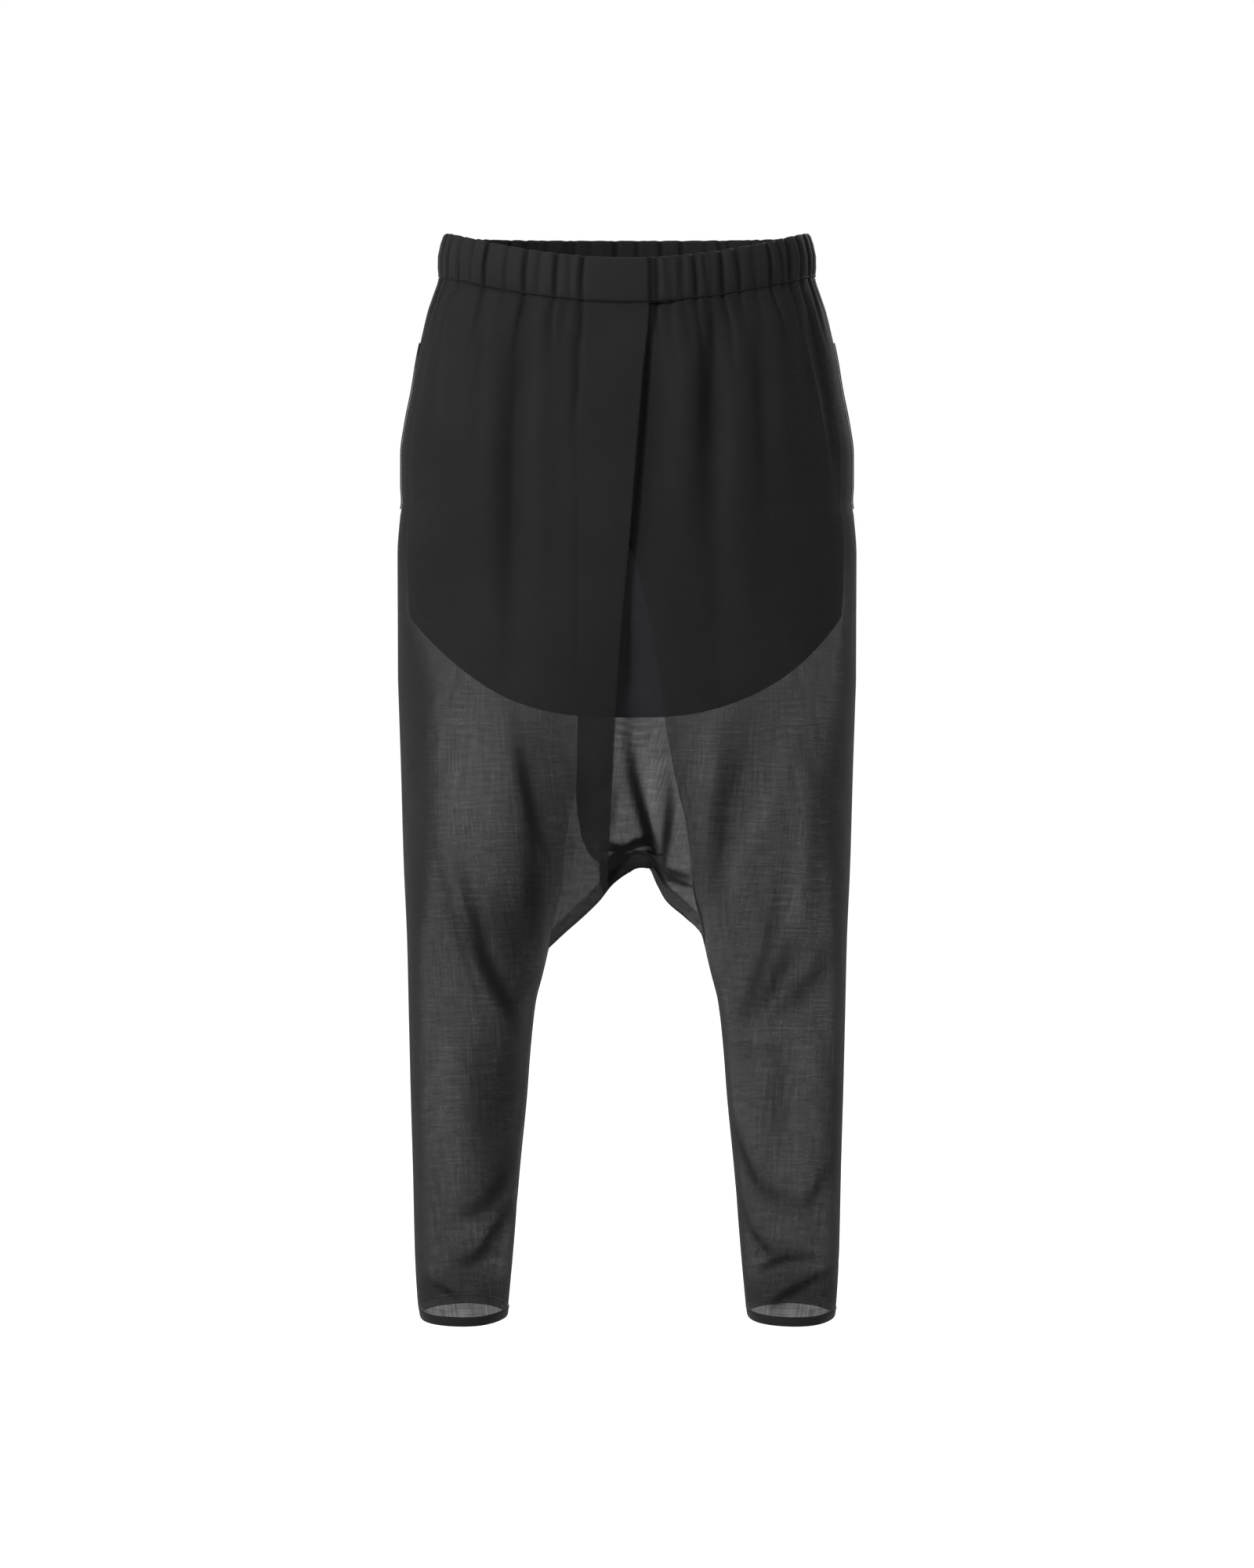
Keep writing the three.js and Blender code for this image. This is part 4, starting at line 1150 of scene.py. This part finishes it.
class PANTS_OT_lining(bpy.types.Operator):
    """The short lining and its turned hem, which hangs low in the middle"""

    bl_idname = "pants.lining"
    bl_label = "Lining"

    def execute(self, context):
        for suffix, face in (("front", FRONT), ("back", BACK)):
            body = lining_grid(face, self.body_height, LINING_ROWS)
            self.sew("lining_" + suffix, face, body, LINING_WALL, 0.0)
            hem = lining_grid(face, self.hem_height, LINING_HEM_ROWS)
            self.sew("lining_hem_" + suffix, face, hem, LINING_HEM_WALL, LINING_HEM_PAINTED_SHADE)
        return {"FINISHED"}

    @staticmethod
    def body_height(x, share):
        return mix(BAND_BOTTOM, lining_hem(x) + LINING_HEM_HEIGHT, share)

    @staticmethod
    def hem_height(x, share):
        return mix(lining_hem(x) + LINING_HEM_HEIGHT, lining_hem(x), share)

    def sew(self, name, face, grid, wall, bunch_and_shade):
        outward = towards(face)
        normals = grid_normals(grid, False, outward)
        ease = lambda place, j, i: 1.2 * math.sin(place.x / 17) * smooth(-place.z / 300)
        shaped = moved(grid, normals, ease)
        piece = grid_mesh(name + "_cloth", shaped, False, outward, lambda place, j, i: bunch_and_shade)
        thicken(piece, wall)
        finish_piece(piece, materials["lining"], "lining_viscose", name)


def leg_ring(side, z, inset):
    """A ring round the end of a leg, gently eased, inset millimetres inside the outline."""
    centre = leg_centre(z)
    width = half_width(z) - centre - inset
    places = []
    for column in range(RING_COLUMNS):
        angle = 2 * math.pi * column / RING_COLUMNS
        ease = 0.5 * math.sin(5 * angle + side)
        x = side * (centre + (width + ease) * math.cos(angle))
        places.append(Vector((x, (front_depth(z) - inset + ease) * math.sin(angle), z)))
    return places


class PANTS_OT_leg_hems(bpy.types.Operator):
    """The turned and stitched hem at the end of each leg"""

    bl_idname = "pants.leg_hems"
    bl_label = "Leg hems"

    # Section of the hem: share of its height, distance in from the outer face
    SECTION = [
        (0.0, 0.35), (0.12, 0.0), (0.5, -0.15), (0.9, 0.0), (1.0, 0.4), (1.0, 1.0), (0.9, 1.4),
        (0.5, 1.5), (0.12, 1.4), (0.0, 1.0),
    ]

    def execute(self, context):
        for name, side in (("hem_right", RIGHT), ("hem_left", LEFT)):
            middle = side * leg_centre(HEM_BOTTOM)
            grid = [
                leg_ring(side, mix(HEM_BOTTOM, LEG_END, share), inset)
                for share, inset in self.SECTION + self.SECTION[:1]
            ]
            outward = lambda place: Vector((place.x - middle, place.y, 0))
            bunching_and_shade = lambda place, j, i: 0.12 if place.y < 0 else -0.25
            piece = grid_mesh(name + "_cloth", grid, True, outward, bunching_and_shade)
            close_section(piece)
            finish_piece(piece, materials["doubled"], "hem_chiffon", name)
        return {"FINISHED"}


class PANTS_OT_pocket_lips(bpy.types.Operator):
    """Narrow bound edges along the pocket mouths in the side seams"""

    bl_idname = "pants.pocket_lips"
    bl_label = "Pocket mouths"

    def execute(self, context):
        for name, side in (("pocket_lip_right", RIGHT), ("pocket_lip_left", LEFT)):
            grid = []
            for z in heights(LIP_TOP, LIP_BOTTOM):
                path = row_path(side, FRONT, z, 0.0)
                columns = round(path_length(path) * LIP_COLUMNS / LIP_WIDTH)
                grid.append(resample(path, columns)[: LIP_COLUMNS + 1])
            outward = lambda place: Vector((side, FRONT, 0))
            normals = grid_normals(grid, False, outward)
            lift = lambda place, j, i: face_lift(FRONT, place)[0] + LIP_PROUD
            piece = grid_mesh(name + "_cloth", moved(grid, normals, lift), False, outward)
            thicken(piece, LIP_WALL)
            finish_piece(piece, materials["doubled"], "hem_chiffon", name)
        return {"FINISHED"}


def stitch_row(name, path, step):
    """A row of stitches along a closed path, one rounded stitch copied along it."""
    bpy.ops.object.select_all(action="DESELECT")
    bpy.ops.mesh.primitive_cylinder_add(
        vertices=6, radius=STITCH_RADIUS * MM, depth=STITCH_SHARE * step, location=(0, 0, 0))
    model = bpy.context.object
    bpy.ops.object.mode_set(mode="EDIT")
    bpy.ops.mesh.select_all(action="SELECT")
    bpy.ops.mesh.bevel(offset=STITCH_BEVEL * MM, segments=1)
    bpy.ops.object.mode_set(mode="OBJECT")
    shape = [vertex.co.copy() for vertex in model.data.vertices]
    faces = [tuple(polygon.vertices) for polygon in model.data.polygons]
    bpy.data.objects.remove(model)
    ring = path + path[:1]
    places = resample(ring, round(path_length(ring) * MM / step))
    corners, quads = [], []
    for before, after in zip(places, places[1:]):
        along = (after - before).normalized()
        turn = along.to_track_quat("Z", "Y")
        start = len(corners)
        middle = (before + after) / 2 * MM
        corners.extend(tuple(turn @ corner + middle) for corner in shape)
        quads.extend(tuple(start + index for index in face) for face in faces)
    mesh = bpy.data.meshes.new(name)
    mesh.from_pydata(corners, [], quads)
    mesh.uv_layers.new(name="cloth")
    piece = bpy.data.objects.new(name, mesh)
    bpy.context.scene.collection.objects.link(piece)
    finish_piece(piece, materials["thread"], "hem_chiffon")


class PANTS_OT_stitching(bpy.types.Operator):
    """Stitches along the waistband's seam and the leg hems"""

    bl_idname = "pants.stitching"
    bl_label = "Stitching"

    def execute(self, context):
        step = context.scene.pants_sizes.stitch_step
        angles = [2 * math.pi * i / BAND_STITCH_PLACES for i in range(BAND_STITCH_PLACES)]
        stitch_row("band_stitches", [self.band_stitch(angle) for angle in angles], step)
        for name, side in (("hem_stitches_right", RIGHT), ("hem_stitches_left", LEFT)):
            stitch_row(name, leg_ring(side, LEG_END - HEM_STITCH_DROP, -HEM_STITCH_PROUD), step)
        return {"FINISHED"}

    def band_stitch(self, angle):
        """A place on the band's seam, which follows the gathers in and out, up and down."""
        place = band_place(angle, BAND_BOTTOM + BAND_STITCH_RISE)
        radial = Vector((place.x, place.y * 1.5, 0)).normalized()
        rise = FLAT_RISE
        if not is_flat(place):
            wave = gather_depth(place, 0)
            rise = Gathers.band * 0.55 * (wave + 0.4)
            place.z += 0.5 * wave
        return place + radial * (rise + BAND_STITCH_PROUD)


# The camera stands a little below the waist and looks slightly down
CAMERA_PLACE = (0.0, -3.1, -0.26)
CAMERA_AIM = (0.0, 0.0, -0.442)
LENS, SENSOR = 84.6, 36
# The floor is so wide that it ends close to the horizon
FLOOR_LEVEL, FLOOR_SIZE = -0.975, 120

# Soft lamps: name, place, aim, size in metres, power in watts
LAMPS = [
    ("key_softbox", (-2.4, -2.2, 1.4), (0, 0, -0.4), 0.8, 420),
    ("fill_softbox", (2.6, -1.8, 0.6), (0, 0, -0.5), 1.0, 80),
    ("back_softbox", (1.6, 2.4, 1.4), (0, 0, -0.4), 1.0, 80),
]


class PANTS_OT_stage(bpy.types.Operator):
    """Camera, soft lamps, pale floor and white surroundings"""

    bl_idname = "pants.stage"
    bl_label = "Stage"

    def execute(self, context):
        scene = context.scene
        self.add_camera(scene)
        for name, place, aim, size, power in LAMPS:
            self.add_lamp(scene, name, place, aim, size, power)
        self.add_floor()
        self.add_surroundings(scene)
        scene.view_settings.view_transform = "Standard"
        scene.cycles.transparent_max_bounces = 24
        return {"FINISHED"}

    def add_camera(self, scene):
        camera = bpy.data.objects.new("camera", bpy.data.cameras.new("camera"))
        scene.collection.objects.link(camera)
        camera.location = CAMERA_PLACE
        aim = Vector(CAMERA_AIM) - Vector(CAMERA_PLACE)
        camera.rotation_euler = aim.to_track_quat("-Z", "Y").to_euler()
        camera.data.lens = LENS
        camera.data.sensor_width = SENSOR
        scene.camera = camera

    def add_lamp(self, scene, name, place, aim, size, power):
        lamp = bpy.data.objects.new(name, bpy.data.lights.new(name, "AREA"))
        scene.collection.objects.link(lamp)
        lamp.location = place
        lamp.rotation_euler = (Vector(aim) - Vector(place)).to_track_quat("-Z", "Y").to_euler()
        lamp.data.size = size
        lamp.data.energy = power

    def add_floor(self):
        bpy.ops.object.select_all(action="DESELECT")
        bpy.ops.mesh.primitive_plane_add(size=FLOOR_SIZE, location=(0, 0, FLOOR_LEVEL))
        floor = bpy.context.object
        floor.name = "pale_floor"
        material, tree, output = new_material("white_studio_floor")
        shader = add_node(tree, "ShaderNodeBsdfPrincipled",
                          Base_Color=(0.15, 0.15, 0.15, 1), Roughness=0.9)
        shader.inputs["Emission Color"].default_value = (1, 1, 1, 1)
        shader.inputs["Emission Strength"].default_value = 0.85
        tree.links.new(shader.outputs[0], output.inputs[0])
        floor.data.materials.append(material)
        floor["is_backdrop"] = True

    def add_surroundings(self, scene):
        """Even white all round, as in a white studio cove."""
        world = bpy.data.worlds.new("white_surroundings")
        world.use_nodes = True
        tree = world.node_tree
        tree.nodes.clear()
        output = tree.nodes.new("ShaderNodeOutputWorld")
        background = add_node(tree, "ShaderNodeBackground", Color=(1, 1, 1, 1), Strength=1.0)
        tree.links.new(background.outputs[0], output.inputs[0])
        scene.world = world


OPERATORS = [
    PANTS_OT_stage, PANTS_OT_waistband, PANTS_OT_panels, PANTS_OT_wrap_return, PANTS_OT_gussets,
    PANTS_OT_lining, PANTS_OT_leg_hems, PANTS_OT_pocket_lips, PANTS_OT_stitching,
]


class PANTS_PT_workshop(bpy.types.Panel):
    """Lists the garment's sizes, looks and pieces"""

    bl_idname = "PANTS_PT_workshop"
    bl_label = "Harem pants"
    bl_space_type = "VIEW_3D"
    bl_region_type = "UI"
    bl_category = "Pants"

    def draw(self, context):
        for group in (context.scene.pants_sizes, context.scene.pants_looks):
            for key in group.bl_rna.properties.keys():
                if key not in ("rna_type", "name"):
                    self.layout.prop(group, key)
        for operator in OPERATORS:
            self.layout.operator(operator.bl_idname)


CLASSES = [PantsSizes, PantsLooks, *OPERATORS, PANTS_PT_workshop]


def register():
    for item in CLASSES:
        bpy.utils.register_class(item)
    bpy.types.Scene.pants_sizes = bpy.props.PointerProperty(type=PantsSizes)
    bpy.types.Scene.pants_looks = bpy.props.PointerProperty(type=PantsLooks)


def unregister():
    del bpy.types.Scene.pants_looks
    del bpy.types.Scene.pants_sizes
    for item in reversed(CLASSES):
        bpy.utils.unregister_class(item)


def main():
    register()
    sizes = bpy.context.scene.pants_sizes
    Gathers.lay_out(sizes.gather_count, sizes.gather_depth / MM, sizes.pucker_depth / MM)
    make_materials()
    bpy.ops.pants.stage()
    bpy.ops.pants.waistband()
    bpy.ops.pants.panels()
    bpy.ops.pants.wrap_return()
    bpy.ops.pants.gussets()
    bpy.ops.pants.lining()
    bpy.ops.pants.leg_hems()
    bpy.ops.pants.pocket_lips()
    bpy.ops.pants.stitching()
    plain = lambda box: [[float(v) for v in corner] for corner in box]
    {"cad": plain(cad_box), "visual": plain(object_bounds())}


if __name__ == "__main__":
    main()
